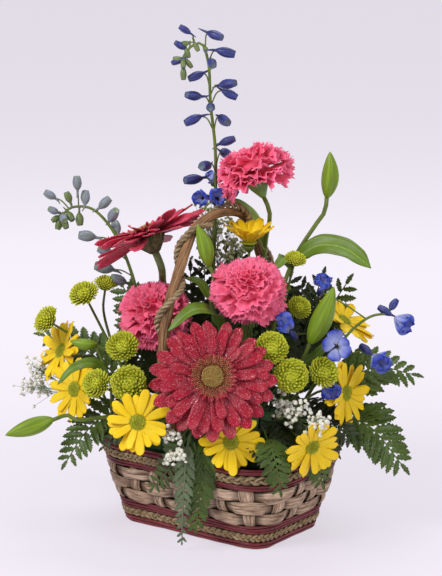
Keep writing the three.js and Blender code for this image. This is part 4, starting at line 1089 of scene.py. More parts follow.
def build_carnations():
    tip = toward(colours().carnation, rgb("ee86b0"), 0.6)
    root, vein = shaded(colours().carnation, 0.72), shaded(colours().carnation, 0.75)
    pink = petal_finish("carnation petal", root, tip, vein, 12, 0.6, 0.2)
    calyx = soft_finish("carnation cup", rgb("4d6b32"), rgb("7d9a55"), 80, 0.5)
    green = fresh_green()
    radius = sizes().carnation_radius / MM
    fans = [ruffled_petal(radius, seed) for seed in (0.3, 1.9, 3.1, 4.6)]
    heart = lens(20, 8, 20, 8, -2)  # what is dense inside the bloom
    layers = [  # count, rise in degrees, size and height
        (12, -16, 1.04, -8), (11, -4, 1.0, -7), (10, 8, 0.96, -6), (10, 20, 0.9, -5),
        (9, 34, 0.8, -4), (8, 48, 0.69, -3), (6, 63, 0.57, -2), (5, 80, 0.46, -1),
    ]
    blooms = {  # place, facing and way of the stem
        "top": ((26, 11, 316), (-0.38, 0.12, 0.92), [(24, 30, 152), (36, 32, 205), (40, 28, 246)]),
        "right": ((24, -47, 225), (0, -0.48, 0.88), [(22, -22, 180)]),
        "left": ((-57, -9, 195), (-0.15, -0.54, 0.83), [(-44, -2, 150)]),
    }
    draw = random.Random(23)
    sepal = petal(
        2, 6, lambda x, s: 8 * s, lambda x, s: 4.4 * (1 - s**1.5), lambda x, s: -0.6 * s * s, 0.5
    )
    for name, (at, face, way) in blooms.items():
        at, face = seen(*at), facing(*face)
        head = turned(at, face)
        copies = [(heart, head)]
        for count, tilt, scale, z in layers:
            for k in range(count):
                spin = tau * (k + 0.3 * draw.uniform(-1, 1)) / count + 0.8 * tilt
                rise = radians(-tilt + draw.uniform(-11, 11))
                size = scale * draw.uniform(0.86, 1.04)
                place = (1.5, 0, z + draw.uniform(-1.5, 1.5))
                matrix = head @ posed(spin, place, rise, radians(draw.uniform(-12, 12)), size)
                copies.append((draw.choice(fans), matrix))
        petals = gathered(f"carnation_{name}_ruffles", copies, 12)
        dress(petals, pink, "carnation", f"carnation_{name}_petals")
        shell = cup(-9.4, 10.2, 21, 2.4, 24)
        sepals = [posed(tau * k / 5, (9.7, 0, -13), radians(-72)) for k in range(5)]
        parts = [(shell, head), *[(sepal, head @ lie) for lie in sepals]]
        node = f"carnation_{name}_stem"
        dress(gathered(f"carnation_{name}_cup", parts, 3), calyx, "stem", node)
        discard(shell)
        stalk = stem_shape(at - face * 29.5, face, seen_line(way), 1.9)
        dress(united(f"carnation_{name}_stalk", [stalk]), green, "stem", node)
    glossy = leaf_finish("carnation leaf", rgb("93b04c"), pale_rib(), 10)
    leaf = blade(
        seen_line([(39, 28.5, 238), (34, 32, 256), (20, 28, 276), (3, 20, 284)]),
        [1, 5, 5.5, 4], facing(0, -0.8, 0.6), 0.25, 0.8,
    )
    dress(united("carnation_top_leaf", [leaf]), glossy, "leaf", "carnation_top_stem")
    discard(sepal, heart, *fans)


# Daisies


def daisy_ray(radius, seed):
    """A yellow petal with two grooves and a notched round tip."""

    def reach(x, share):
        return lerp(4.6, radius, share) - 0.7 * exp(-((x / 0.35) ** 2)) * share**10

    def width(x, share):
        return 3.95 * broadened(share, 0.45, 0.55) * round_tip(share, 0.78)

    def lift(x, share):
        droop = 1.5 * share**3 * (1 + sin(2 * seed))
        return grooved(x, share, 0.4) + 1.1 * sin(seed) * share * x - droop

    return petal(6, 9, reach, width, lift, 0.55)


DAISIES = {  # the fork of each spray, then each head's place, facing and hollowness
    "front": (
        (-32, -65, 112),
        [((-68, -94, 117), (-0.05, -0.95, 0.28), 0.12), ((9, -93, 100), (0.08, -0.97, 0.05), 0.12)],
    ),
    "left": (
        (-98, -8, 112),
        [
            ((-124, -22, 126), (-0.62, -0.72, 0.3), 0.15),
            ((-138, 15, 150), (-0.75, -0.5, 0.42), 0.2),
        ],
    ),
    "right": (
        (50, -52, 108),
        [((76, -94, 96), (0.5, -0.75, -0.2), 0.2), ((107, -38, 127), (0.72, -0.6, 0.1), 0.2)],
    ),
    "back": (
        (16, 22, 150),
        [
            ((25, 2, 248), (0, -0.08, 1), 1.0), ((108, 20, 176), (0.55, -0.25, 0.8), 0.2),
            ((-20, 84, 150), (-0.1, 0.85, 0.5), 0.15),
        ],
    ),
}


def build_daisies():
    sunny = colours().daisy
    ribbed = toward(sunny, rgb("c98a00"), 0.5)
    yellow = petal_finish("daisy petal", shaded(sunny, 0.82), sunny, ribbed, 7, 0.5, 0.35)
    centre = soft_finish("daisy disc", rgb("8a9420"), rgb("cdc635"), 700, 0.7)
    green = fresh_green()
    radius = sizes().daisy_radius / MM
    rays = [daisy_ray(radius, seed) for seed in (0.2, 1.4, 2.9, 4.4)]
    floret = peg((0, 0.9, 1.4), 0.6, 0.2, 5)
    disc_radius = 6.4
    dome = lens(16, 5, disc_radius, 1.3, 1.2, 0.6)
    shell = cup(-1.2, 5.2, 6, 1.6, 16)
    draw = random.Random(31)
    for name, (fork, heads) in DAISIES.items():
        node = f"daisy_{name}_stems"
        stems, discs, cups = [main_stem(seen(*fork), 1.7)], [], []
        for index, (at, face, lean) in enumerate(heads):
            at, face = seen(*at), facing(*face)
            head = turned(at, face)
            copies = []
            for tier, count in enumerate((12, 11)):
                for k in range(count):
                    spin = tau * (k + 0.5 * tier + 0.25 * draw.uniform(-1, 1)) / count
                    rise = radians(draw.uniform(-6, 6)) - atan(lean + 0.09 * (tier - 0.5))
                    matrix = head @ posed(spin, rise=rise, size=draw.uniform(0.8, 1.03))
                    copies.append((draw.choice(rays), matrix))
            petals = gathered(f"daisy_{name}_rays_{index + 1}", copies, index)
            dress(petals, yellow, "daisy", f"daisy_{name}_petals_{index + 1}")
            discs.append((dome, head))
            for _, out, place in spiral(90, disc_radius):
                tip = (place * 0.12 + UP).normalized()
                place.z = 2.4 - 0.035 * out * out
                discs.append((floret, head @ turned(place, tip)))
            cups.append((shell, head))
            stems.append(branch(seen(*fork), at - face * 6.5, face, 1.2))
        dress(gathered(f"daisy_{name}_discs", discs, 5), centre, "stem", node)
        dress(gathered(f"daisy_{name}_cups", cups, 6), green, "stem", node)
        dress(united(f"daisy_{name}_stalks", stems), green, "stem", node)
    discard(floret, dome, shell, *rays)


# Button blooms

BUTTONS = {  # the fork of each spray, then each head's place, facing and size
    "upper_left": (
        (-92, 14, 150),
        [
            ((-149, 8, 179), (-0.75, -0.35, 0.55), 0.95),
            ((-117, 12, 201), (-0.3, -0.5, 0.8), 0.95),
            ((-100, 30, 206), (0.1, -0.2, 0.97), 0.75),
        ],
    ),
    "left": (
        (-84, -26, 124),
        [
            ((-82, -42, 168), (-0.1, -0.75, 0.65), 1.0), ((-76, -72, 144), (0, -0.9, 0.4), 1.1),
            ((-103, -58, 140), (-0.4, -0.8, 0.45), 0.9),
        ],
    ),
    "right": (
        (58, -34, 116),
        [
            ((43, -74, 175), (0.05, -0.85, 0.5), 1.0), ((59, -80, 153), (0.1, -0.93, 0.35), 1.05),
            ((86, -66, 152), (0.4, -0.8, 0.45), 0.95),
        ],
    ),
    "upper_right": (
        (48, 10, 160),
        [
            ((64, -10, 236), (0.2, -0.3, 0.93), 0.7), ((67, -30, 199), (0.3, -0.7, 0.65), 0.75),
            ((60, 56, 190), (0.3, 0.6, 0.75), 0.9),
        ],
    ),
}
BUTTON_QUILLS = 130


def build_buttons():
    tip = toward(colours().button, rgb("f4f250"), 0.55)
    root, vein = shaded(colours().button, 0.5), shaded(colours().button, 0.62)
    lime = petal_finish("button petal", root, tip, vein, 3, 0.6, 0.25)
    green = fresh_green()
    radius = sizes().button_radius / MM
    quill = petal(
        2, 5,
        lambda x, s: 7.2 * s,
        lambda x, s: 1.3 * (0.6 + 0.4 * s) * round_tip(s, 0.7),
        lambda x, s: 1.5 * s * s + 0.5 * x * x,
        0.45,
    )
    core = lens(16, 8, 0.62 * radius, 0.46 * radius, 0.05 * radius)
    shell = cup(-0.1 * radius, 0.62 * radius, 0.4 * radius, 1.4, 16)
    draw = random.Random(41)
    for name, (fork, heads) in BUTTONS.items():
        copies, cups, stems = [], [], [main_stem(seen(*fork), 1.7)]
        for at, face, size in heads:
            at, face = seen(*at), facing(*face)
            head = turned(at, face, 0, size)
            copies.append((core, head))
            for k in range(BUTTON_QUILLS):
                high = 1 - 1.22 * (k + 0.5) / BUTTON_QUILLS
                ring = sin(acos(high))
                angle = k * GOLDEN_ANGLE
                base = around(0.58 * ring, angle, 0.3 * high) * radius
                way = around(1.25 * ring, angle, high + 0.2).normalized()
                side = UP.cross(way).normalized() if ring > 0.05 else Vector((0, 1, 0))
                grow = draw.uniform(0.88, 1.05) * lerp(0.6, 1.0, min(1, 1.6 * ring))
                upper = way.cross(side).normalized()
                copies.append((quill, head @ framed(base, way, side, upper, grow)))
            cups.append((shell, head))
            stems.append(branch(seen(*fork), at - face * 0.45 * radius * size, face, 1.2))
        node = f"button_spray_{name}"
        dress(gathered(f"button_blooms_{name}", copies, 4), lime, "button", node)
        dress(gathered(f"button_cups_{name}", cups, 5), green, "stem", node)
        dress(united(f"button_stalks_{name}", stems), green, "stem", node)
    discard(quill, core, shell)


# Lilies

# Each stem's base, facing, way and radius, its buds with root, tip, radius and turn, and its
# leaves with line, half widths, facing, hollowness and waviness
LILIES = {
    "right": (
        ((92, 15, 288), (0.12, 0, 1), [(60, 8, 225), (82, 14, 262)], 1.9),
        [((92, 15, 285), (94, 11, 327), 7.4, 0)],
        [
            (
                [(63, 9, 232), (84, 0, 247), (106, -12, 247), (128, -26, 233)],
                [1.2, 7, 9.6, 9.6, 7.6], (0.1, -0.8, 0.6), 0.25, 0.8,
            ),
            (
                [(60, 9, 225), (56, -10, 238), (46, -24, 231)],
                [1, 7, 7.5, 4.5], (-0.2, -0.8, 0.5), 0.2, 0.6,
            ),
        ],
    ),
    "low_right": (
        ((76, -54, 176), (0.35, -0.12, 0.95), [(58, -30, 132)], 1.7),
        [((75, -54, 173), (95, -63, 225), 8.8, 0.4)],
        [
            (
                [(66, -42, 150), (84, -48, 166), (98, -46, 184)],
                [1, 3.6, 4.2, 3], (0.4, -0.8, 0.4), 0.18, 0,
            )
        ],
    ),
    "centre": (
        ((-9, -37, 238), (-0.3, -0.05, 0.95), [(1, -26, 175), (-8, -33, 208)], 1.6),
        [((-9, -37, 236), (-19, -40, 273), 6.6, 0.2)],
        [
            (
                [(0, -27, 180), (-5, -48, 199), (-22, -63, 205), (-43, -71, 189)],
                [1, 6, 8, 7.5, 5], (0, -0.5, 0.86), 0.22, 0.6,
            ),
            (
                [(-7.5, -32.6, 206), (-17, -32, 222), (-29, -34, 226)],
                [1, 3.5, 4, 3], (0, -0.7, 0.7), 0.18, 0,
            ),
        ],
    ),
    "left": (
        ((-142, -53, 107), (-0.92, -0.3, -0.24), [(-98, -47, 108), (-122, -55, 108)], 1.7),
        [
            ((-140, -52, 108), (-181, -64, 97), 7.2, 0.1),
            ((-104, -22, 165), (-128, -24, 169), 4.9, 0.6),
        ],
        [
            (
                [(-94, -30, 136), (-106, -38, 152), (-122, -48, 152), (-137, -52, 138)],
                [1, 4.6, 5.6, 5, 3], (-0.3, -0.7, 0.65), 0.25, 0.5,
            )
        ],
    ),
}
LEFT_LILY_BRANCH = [(-92, -42, 107), (-94, -30, 136), (-106, -22, 165)]


def lily_bud(base, tip, radius, seed):
    """A long bud with three seams."""
    axis = (tip - base).normalized()
    side = axis.orthogonal().normalized()
    out = axis.cross(side)

    def place(column, row):
        angle = tau * column
        swell = sin(pi * row**0.82) ** 0.8 if 0 < row < 1 else 0
        seam = abs(((3 * column + seed) % 1) - 0.5) * 2
        size = radius * swell * (1 - 0.16 * exp(-((seam / 0.16) ** 2)) + 0.05 * seam)
        bend = side * 1.5 * sin(pi * row)
        return base.lerp(tip, row) + (side * cos(angle) + out * sin(angle)) * size + bend

    return tidied(formed(30, 22, place))


def build_lilies():
    budding = bud_finish("lily bud", shaded(colours().lily, 0.6), shaded(colours().lily, 1.3), 9)
    glossy = leaf_finish("lily leaf", colours().leaf, pale_rib(), 16)
    green = fresh_green()
    for name, ((base, axis, way, radius), buds, leaves) in LILIES.items():
        stalks = [stem_shape(seen(*base), facing(*axis), seen_line(way), radius)]
        if name == "left":
            stalks.append(cane(smooth_line(seen_line(LEFT_LILY_BRANCH), 12), lambda share: 1.3, 7))
        heads = [lily_bud(seen(*root), seen(*tip), *girth) for root, tip, *girth in buds]
        blades = [
            blade(seen_line(line), widths, facing(*face), hollow, wave)
            for line, widths, face, hollow, wave in leaves
        ]
        node = f"lily_{name}"
        dress(united(f"{node}_stalks", stalks), green, "stem", node)
        dress(united(f"{node}_buds", heads, 2), budding, "leaf", node)
        dress(united(f"{node}_leaves", blades, 3), glossy, "leaf", node)


# Delphiniums

# Lines of the stems from the foam up, then buds and green tips, each with the place of its tip
# and its length, and open florets with their place, facing and size
TALL_LINE = [
    (-6, 36, 200), (-4, 36, 271), (-4, 35, 326), (-8, 32, 365),
    (-10, 26, 402), (-16, 22, 418), (-26, 20, 414), (-31, 20, 402),
]
TALL_BUDS = [
    ((-32, 22, 431), 9), ((-36, 18, 418), 9), ((-38, 24, 402), 9), ((-1, 18, 424), 12),
    ((9, 26, 409), 13), ((-24, 26, 388), 12), ((-6, 14, 401), 12), ((10, 20, 384), 13),
    ((12, 30, 372), 12), ((-26, 20, 374), 13), ((-8, 12, 364), 12), ((-27, 28, 350), 13),
    ((5, 16, 352), 13), ((10, 32, 334), 12), ((-14, 12, 314), 14), ((-27, 24, 300), 14),
    ((6, 58, 318), 13),
]
TALL_TIPS = [
    ((-33, 20, 417), 8), ((-38, 22, 405), 7), ((-27, 20, 408), 7), ((-31, 18, 399), 8),
    ((-25, 22, 399), 7), ((-31, 21, 389), 9), ((-19, 20, 413), 7), ((-12, 19, 412), 7),
]
TALL_FLORETS = [
    ((-14, 20, 285), (-0.4, -0.9, 0.1), 13), ((-3, 13, 285), (0.2, -0.9, 0.4), 13),
    ((6, 42, 288), (0.7, -0.6, 0.1), 10), ((-6, 46, 296), (0, 0.9, 0.2), 11),
]
LEFT_LINE = [
    (-66, 30, 170), (-77, 40, 213), (-89, 45, 243), (-102, 48, 262), (-114, 50, 271),
    (-130, 52, 271), (-139, 52, 264),
]
LEFT_BUDS = [
    ((-125, 52, 296), 10), ((-151, 50, 284), 9), ((-148, 48, 270), 8), ((-136, 42, 262), 9),
    ((-118, 56, 282), 10), ((-98, 50, 278), 11), ((-92, 42, 268), 11), ((-92, 58, 254), 11),
    ((-120, 40, 248), 12), ((-104, 40, 236), 11), ((-106, 34, 222), 14), ((-92, 30, 212), 12),
]
LEFT_TIPS = [
    ((-142, 50, 254), 8), ((-135, 48, 255), 8), ((-130, 48, 262), 8), ((-146, 50, 260), 7),
    ((-123, 50, 258), 9), ((-134, 54, 282), 8),
]
RIGHT_LINE = [(84, -22, 135), (98, -26, 160), (114, -24, 180), (130, -20, 190), (144, -20, 192)]
RIGHT_BUDS = [((150, -12, 200), 10)]
OPEN_FLORET = ((97, -72, 176), (0.15, -0.97, 0.2), 13.5)  # the one that lies wide open
RIGHT_FLORETS = [
    ((148, -22, 190), (0.75, -0.45, -0.4), 16.5), ((129, -42, 161), (0.5, -0.7, -0.3), 17),
    ((87, -8, 212), (0.1, -0.7, 0.6), 14), OPEN_FLORET,
    ((58, -56, 186), (-0.4, -0.6, 0.6), 15), ((90, -54, 139), (0.3, -0.75, -0.4), 15),
]
BUD_PROFILE = [
    (0, 0), (0.06, 0.02), (0.13, 0.12), (0.21, 0.3), (0.245, 0.5), (0.23, 0.72), (0.185, 0.92),
    (0.17, 1), (0.1, 0.93), (0, 0.9),
]
SPUR_LINE = [(0, 0, 0.2), (0.03, 0, -0.08), (0.07, 0, -0.27), (0.15, 0, -0.47)]


def delphinium_bud():
    """A closed bud of unit length along +Z, with its spur behind."""
    closed = lathed([(size / MM, z / MM) for size, z in BUD_PROFILE], 15, 0.1)
    line = [Vector(point) / MM for point in SPUR_LINE]
    spur = cane(smooth_line(line, 8), lambda share: (0.095 - 0.07 * share) / MM, 7)
    return united("bud", [closed, spur])


def sepal_shape(seed):
    """A broad blue sepal of unit reach."""

    def reach(x, share):
        return (lerp(0.12, 1.0, share) + 0.03 * sin(9 * x + seed) * share**3) / MM

    def width(x, share):
        return 0.46 * broadened(share, 0, 0.7) * round_tip(share, 0.7) / MM

    def lift(x, share):
        return (0.42 * share - 0.14 * x * x * share + 0.11 * sin(6 * x + seed) * share**2) / MM

    return petal(8, 8, reach, width, lift, 0.045 / MM)


def build_delphiniums():
    blue = colours().delphinium
    violet, light = toward(blue, rgb("40246e"), 0.45), toward(blue, (0.85, 0.9, 1), 0.58)
    buds_blue = bud_finish("delphinium bud", rgb("1d1e4c"), rgb("434f9e"), 7, rgb("5c6a72"))
    buds_pale = bud_finish("pale bud", rgb("66735c"), rgb("8c8fb4"), 6, rgb("7f9067"))
    buds_green = bud_finish("green bud", rgb("46582a"), rgb("84925c"), 6, rgb("5d6884"))
    sepals = petal_finish("delphinium sepal", light, blue, violet, 9, 0.5, 0.55)
    green = fresh_green()
    centre = soft_finish("delphinium eye", rgb("0c0c12"), rgb("20202a"), 300, 0.6)
    bud = delphinium_bud()
    leaves = [sepal_shape(seed) for seed in (0.2, 2.1, 4.0)]
    eye = peg((0, 1.2, 2.6), 1.7, 0.9, 8)
    spikes = {  # with how far the buds nod and how fat they are
        "tall": (TALL_LINE, TALL_BUDS, TALL_TIPS, TALL_FLORETS, buds_blue, 0.6, 1.05),
        "left": (LEFT_LINE, LEFT_BUDS, LEFT_TIPS, [], buds_pale, 0.1, 1.3),
        "right": (RIGHT_LINE, RIGHT_BUDS, [], RIGHT_FLORETS, buds_blue, 0.2, 1.1),
    }
    draw = random.Random(53)
    for name, (line, buds, young, florets, bud_look, nod, fat) in spikes.items():
        node = f"delphinium_{name}"
        spine = rooted(seen_line(line), 12, 80)

        def lower(point, spine=spine):
            """Where a stalk to a point leaves the stem: near it and about 11 mm lower."""
            return min(spine, key=lambda s: (s - point).length + 0.9 * abs(s.z - (point.z - 11)))

        greens = [cane(spine, lambda share: lerp(2.0, 1.1, share))]
        closed, green_buds, open_sepals, eyes = [], [], [], []
        for index, (tip, length) in enumerate([*buds, *young]):
            tip = seen(*tip)
            grown = index < len(buds)
            root = lower(tip) if grown else min(spine, key=lambda s: (s - tip).length)
            drop = nod * (1 + 0.6 * uneven(index, 3))
            out = ((tip - root).normalized() - UP * drop).normalized()
            base = tip - out * length
            arch = root.lerp(base, 0.6) + UP * (1.5 + 3 * nod)
            greens.append(cane(smooth_line([root, arch, base + out], 10), lambda share: 0.65, 5))
            size = 1.24 * length * draw.uniform(0.98, 1.08)
            seat = turned(base, out, draw.uniform(0, 6), size * MM)
            kind = closed if grown else green_buds
            kind.append((bud, seat @ Matrix.Diagonal((fat, fat, 1, 1))))
        for floret in florets:
            at, face, size = seen(*floret[0]), facing(*floret[1]), floret[2]
            root = lower(at)
            back = at - face * 0.5 * size
            middle = root.lerp(back, 0.5) + UP * 1.5
            greens.append(cane(smooth_line([root, middle, back], 8), lambda share: 0.7, 5))
            head = turned(at, face, draw.uniform(0, 6))
            steep = 6 if floret == OPEN_FLORET else 46
            for k in range(5):
                spin = tau * k / 5 + 0.16 * draw.uniform(-1, 1)
                rise = -radians(steep + draw.uniform(-9, 9))
                grow = size * MM * draw.uniform(0.82, 1.1)
                matrix = head @ posed(spin, rise=rise, size=grow)
                open_sepals.append((draw.choice(leaves), matrix))
            spur = turned(at - face * 0.1 * size, -face, draw.uniform(0, 6), 0.85 * size * MM)
            closed.append((bud, spur))
            eyes.append((eye, head @ Matrix.Translation(UP * 0.12 * size * MM)))
        dress(united(f"{node}_stalks", greens), green, "stem", node)
        dress(gathered(f"{node}_buds", closed, 6), bud_look, "delphinium", node)
        if green_buds:
            dress(gathered(f"{node}_tips", green_buds, 9), buds_green, "stem", node)
        if florets:
            dress(gathered(f"{node}_sepals", open_sepals, 7), sepals, "delphinium", node)
            dress(gathered(f"{node}_eyes", eyes, 8), centre, "delphinium", node)
    discard(bud, eye, *leaves)


# Ferns

# Each frond's line, the half width at its broadest and its facing
FERNS = {
    "right_upper": ([(98, -6, 120), (134, -10, 142), (166, -10, 136)], 34, (0.2, -0.6, 0.8)),
    "right_lower": ([(92, -14, 104), (128, -34, 96), (155, -46, 66)], 36, (0.4, -0.8, 0.5)),
    "right_back": ([(70, 40, 130), (92, 48, 172), (112, 48, 204)], 34, (-0.2, -0.7, 0.5)),
    "left_upper": ([(-92, 42, 122), (-128, 52, 148), (-156, 50, 156)], 32, (-0.1, -0.6, 0.8)),
    "left_lower": ([(-98, -20, 102), (-116, -36, 90), (-131, -44, 68)], 28, (-0.3, -0.8, 0.5)),
    "trailing": ([(-14, -80, 96), (-16, -86, 62), (-20, -90, 24)], 20, (0.1, -0.95, 0.15)),
    "trailing_pale": ([(-26, -84, 98), (-30, -96, 60), (-32, -80, 7)], 13, (-0.1, -0.95, 0.15)),
    "front_right": ([(38, -84, 103), (45, -106, 90), (50, -106, 62)], 22, (0.3, -0.9, 0.2)),
    "back_left": ([(-52, 62, 130), (-72, 86, 168), (-88, 98, 190)], 38, (-0.2, 0.8, 0.4)),
    "back_right": ([(30, 72, 120), (40, 104, 150), (44, 124, 176)], 38, (0.2, 0.8, 0.5)),
}
SKIRT_FRONDS = 13
RIB_STEPS = 90
SMALL_FRONDS = [
    ([(-28, -77, 97), (-42, -61, 68), (-58, -43, 43)], 22, (-0.3, -0.9, 0.2)),
    ([(62, -62, 100), (78, -64, 84), (87, -60, 54)], 24, (0.4, -0.9, 0.1)),
]
INNER_FRONDS = [
    ([(66, -30, 104), (92, -44, 103), (112, -56, 92)], 27, (0.3, -0.8, 0.5)),
    ([(46, 30, 120), (56, 36, 170), (62, 38, 212)], 30, (0.1, -0.7, 0.4)),
    ([(58, 24, 118), (76, 30, 172), (90, 34, 214)], 28, (0.2, -0.7, 0.4)),
    ([(50, 34, 118), (64, 40, 164), (73, 42, 202)], 32, (0.1, -0.7, 0.4)),
    ([(-12, 52, 150), (-14, 58, 190), (-13, 56, 226)], 27, (-0.1, -0.7, 0.4)),
    ([(12, 60, 150), (18, 64, 196), (20, 60, 230)], 21, (0.1, -0.7, 0.4)),
    ([(2, 46, 122), (4, 54, 172), (6, 54, 216)], 27, (0, -0.7, 0.5)),
    ([(22, 38, 122), (32, 42, 170), (38, 42, 210)], 26, (0.2, -0.7, 0.5)),
    ([(48, 30, 120), (64, 36, 164), (76, 38, 200)], 25, (0.1, -0.7, 0.5)),
    ([(-22, 44, 122), (-25, 54, 168), (-26, 56, 214)], 32, (-0.1, -0.7, 0.5)),
    ([(-50, 10, 116), (-60, 0, 138), (-66, -6, 150)], 22, (-0.1, -0.7, 0.6)),
    ([(-30, 30, 120), (-38, 36, 165), (-42, 38, 196)], 26, (0, -0.7, 0.6)),
    ([(8, 22, 120), (12, 16, 160), (8, 10, 190)], 24, (0.2, -0.7, 0.6)),
    ([(38, 18, 120), (52, 24, 160), (62, 26, 190)], 27, (0.1, -0.6, 0.7)),
    ([(-58, 22, 118), (-72, 16, 146), (-84, 8, 160)], 24, (-0.2, -0.6, 0.7)),
    ([(-8, -28, 112), (-16, -36, 140), (-22, -40, 160)], 21, (-0.1, -0.8, 0.5)),
    ([(58, -8, 114), (76, -12, 146), (88, -16, 164)], 24, (0.2, -0.7, 0.6)),
    ([(24, -66, 104), (31, -88, 98), (36, -100, 84)], 18, (0.2, -0.8, 0.5)),
    ([(60, -56, 104), (86, -70, 98), (98, -74, 84)], 20, (0.4, -0.7, 0.5)),
    ([(-58, -58, 104), (-84, -66, 100), (-98, -68, 88)], 19, (-0.4, -0.7, 0.5)),
    ([(32, 52, 118), (46, 70, 142), (56, 82, 156)], 26, (0.3, 0.6, 0.7)),
    ([(-24, 66, 112), (-34, 92, 128), (-40, 108, 134)], 27, (-0.2, 0.6, 0.7)),
    ([(66, 40, 112), (90, 56, 124), (106, 64, 122)], 24, (0.5, 0.4, 0.7)),
]


def leaflet(lobes, plump, sweep):
    """A lobed leaflet of unit length along +X, with lobes that point forward."""

    def reach(x, share):
        return (share + sweep * abs(x) * sin(pi * share)) / MM

    def width(x, share):
        outline = plump * sin(pi * share**0.72) ** 0.85 if 0 < share < 1 else 0
        lobe = 0.42 + 0.58 * (lobes * share % 1) ** 0.8
        return outline * lobe / MM

    def lift(x, share):
        return (0.22 * plump * abs(x) * sin(pi * share) - 0.1 * share * share) / MM

    return petal(4, 3 * lobes, reach, width, lift, 0.02 / MM)


def skirt_frond(index):
    """A low frond that hides the foam's edge at the sides and the back."""
    angle = radians(lerp(-20, 200, index / (SKIRT_FRONDS - 1)) + 6 * uneven(index, 2))
    x, y = cos(angle), sin(angle)
    fall = 5 * uneven(index, 5)
    stations = ((62, 38, 106), (90, 62, 110 + fall), (112, 86, 88 + fall))
    line = [Vector((long * x, short * y, z)) for long, short, z in stations]
    return line, 23 + 2 * uneven(index, 8), Vector((0.6 * x, 0.6 * y, 0.8)).normalized()


def build_ferns():
    fern = colours().fern
    green = leaf_finish("fern leaf", fern, shaded(fern, 1.8), 14, 0.4, False)
    # The inner fern leaf is the fern colour at a third of its brightness: painted shade for fronds
    # deep in and low round the arrangement.
    dark = leaf_finish("inner fern leaf in painted shade", shaded(fern, 0.32), shaded(fern, 0.6), 14, 0.4, False)
    pale = leaf_finish("pale fern leaf", rgb("5d6d4a"), rgb("95a180"), 12, 0.36, False)
    broad = [leaflet(7, 0.235, 0.12), leaflet(8, 0.215, 0.14)]
    rounded = [leaflet(4, 0.24, 0.04), leaflet(6, 0.2, 0.1)]
    fronds = {f"fern_{name}": frond for name, frond in FERNS.items()}
    fronds |= {f"inner_{index}": frond for index, frond in enumerate(INNER_FRONDS, 1)}
    fronds |= {f"small_{index}": frond for index, frond in enumerate(SMALL_FRONDS, 1)}
    fronds = {
        name: (seen_line(line), half, facing(*face)) for name, (line, half, face) in fronds.items()
    }
    fronds |= {f"skirt_{index + 1}": skirt_frond(index) for index in range(SKIRT_FRONDS)}
    draw = random.Random(61)
    for name, (points, half, face) in fronds.items():
        rib = rooted(points, 10, RIB_STEPS)
        ways = tangents(rib)
        light = name == "fern_trailing_pale"
        shapes, pairs = (rounded, 12) if light else (broad, 9)
        swept, longer = (1.5, 1.3) if "trailing" in name else (0.75, 1)
        copies = []
        for k in range(pairs):
            place = k / pairs
            for hand in (-1, 1):
                at = round(RIB_STEPS * lerp(0.42, 1, place + 0.3 * (hand > 0) / pairs))
                way = ways[at]
                side = way.cross(face).normalized()
                out = side.cross(way).normalized()
                length = longer * half * lerp(1, 0.34, place**1.3) * min(1, 0.72 + 0.28 * k)
                ahead = (way * (swept + 0.1 * draw.uniform(-1, 1)) + side * hand).normalized()
                up = (out + ahead * 0.1 * draw.uniform(-1, 1)).normalized()
                across = up.cross(ahead).normalized()
                size = length * MM * draw.uniform(0.92, 1.06)
                matrix = framed(rib[at], ahead, across, ahead.cross(across), size)
                copies.append((draw.choice(shapes), matrix))
        end = ways[-1]
        up = end.cross(face).normalized().cross(end)
        copies.append((shapes[0], framed(rib[-2], end, up.cross(end), up, 0.36 * half * MM)))
        stalk = cane(rib, lambda share: lerp(1.2, 0.5, share), 6)
        copies.append((stalk, Matrix.Identity(4)))
        piece = gathered(f"{name}_frond", copies, 13)
        discard(stalk)
        # Inner and skirt fronds take the darker leaf, which is painted shade.
        look = pale if light else dark if name.startswith(("inner", "skirt")) else green
        dress(piece, look, "fern", *([name] if name.startswith("fern") else []))
    discard(*broad, *rounded)


# Small blossoms


def cluster(centre, count, size, kind):
    """Uneven places round a centre, within a size on each axis."""
    return [
        centre + Vector([uneven(i, kind + axis) * size[axis] for axis in range(3)])
        for i in range(count)
    ]


def sprig(name, fork, radius, tips, spread, each, shapes, finishes, slot, node, seed):
    """Many specks on fine twigs that leave one stem, each of them round one of the tips."""
    speck, straw = shapes
    twig_look, speck_look = finishes
    draw = random.Random(seed)
    line = rooted([fork], 10, 12)
    main = cane(line, lambda share: radius, 6)
    twigs, specks = [(main, Matrix.Identity(4))], []
    for i, tip in enumerate(tips):
        root = line[-1].lerp(line[-4], min(1, 0.12 * i))
        joint = root.lerp(tip, 0.72)
        twigs.append((straw, pointed(root, joint, 0, 0.55)))
        for _ in range(each):
            end = tip + Vector([draw.gauss(0, 0.5) * spread for _ in range(3)])
            twigs.append((straw, pointed(joint, end, draw.uniform(0, 6), 0.3)))
            way = (end - joint).normalized()
            specks.append((speck, turned(end, way, draw.uniform(0, 6), draw.uniform(0.7, 1.15))))
    dress(gathered(f"{name}_twigs", twigs, 2), twig_look, "stem", node)
    dress(gathered(f"{name}_specks", specks, 3), speck_look, slot, node)
    discard(main, *shapes)


def small_blossom(radius):
    """A tiny double blossom: a ball with folds."""
    piece = started(bpy.ops.mesh.primitive_ico_sphere_add, subdivisions=2, radius=radius * MM)
    for vertex in piece.data.vertices:
        way = vertex.co.normalized()
        fold = noise.noise(way * 3.1)
        vertex.co = way * radius * MM * (0.92 + 0.5 * fold)
        vertex.co.z *= 0.8
    bpy.ops.object.shade_smooth()
    return piece


def twig_straw():
    """A twig of unit length along +Z and 1 mm thick."""
    half = 0.5 * MM
    measures = {"vertices": 5, "radius": half, "depth": MM, "location": (0, 0, half)}
    piece = started(bpy.ops.mesh.primitive_cylinder_add, **measures)
    bpy.ops.object.transform_apply(location=True, rotation=False, scale=False)
    bpy.ops.object.shade_smooth()
    return piece


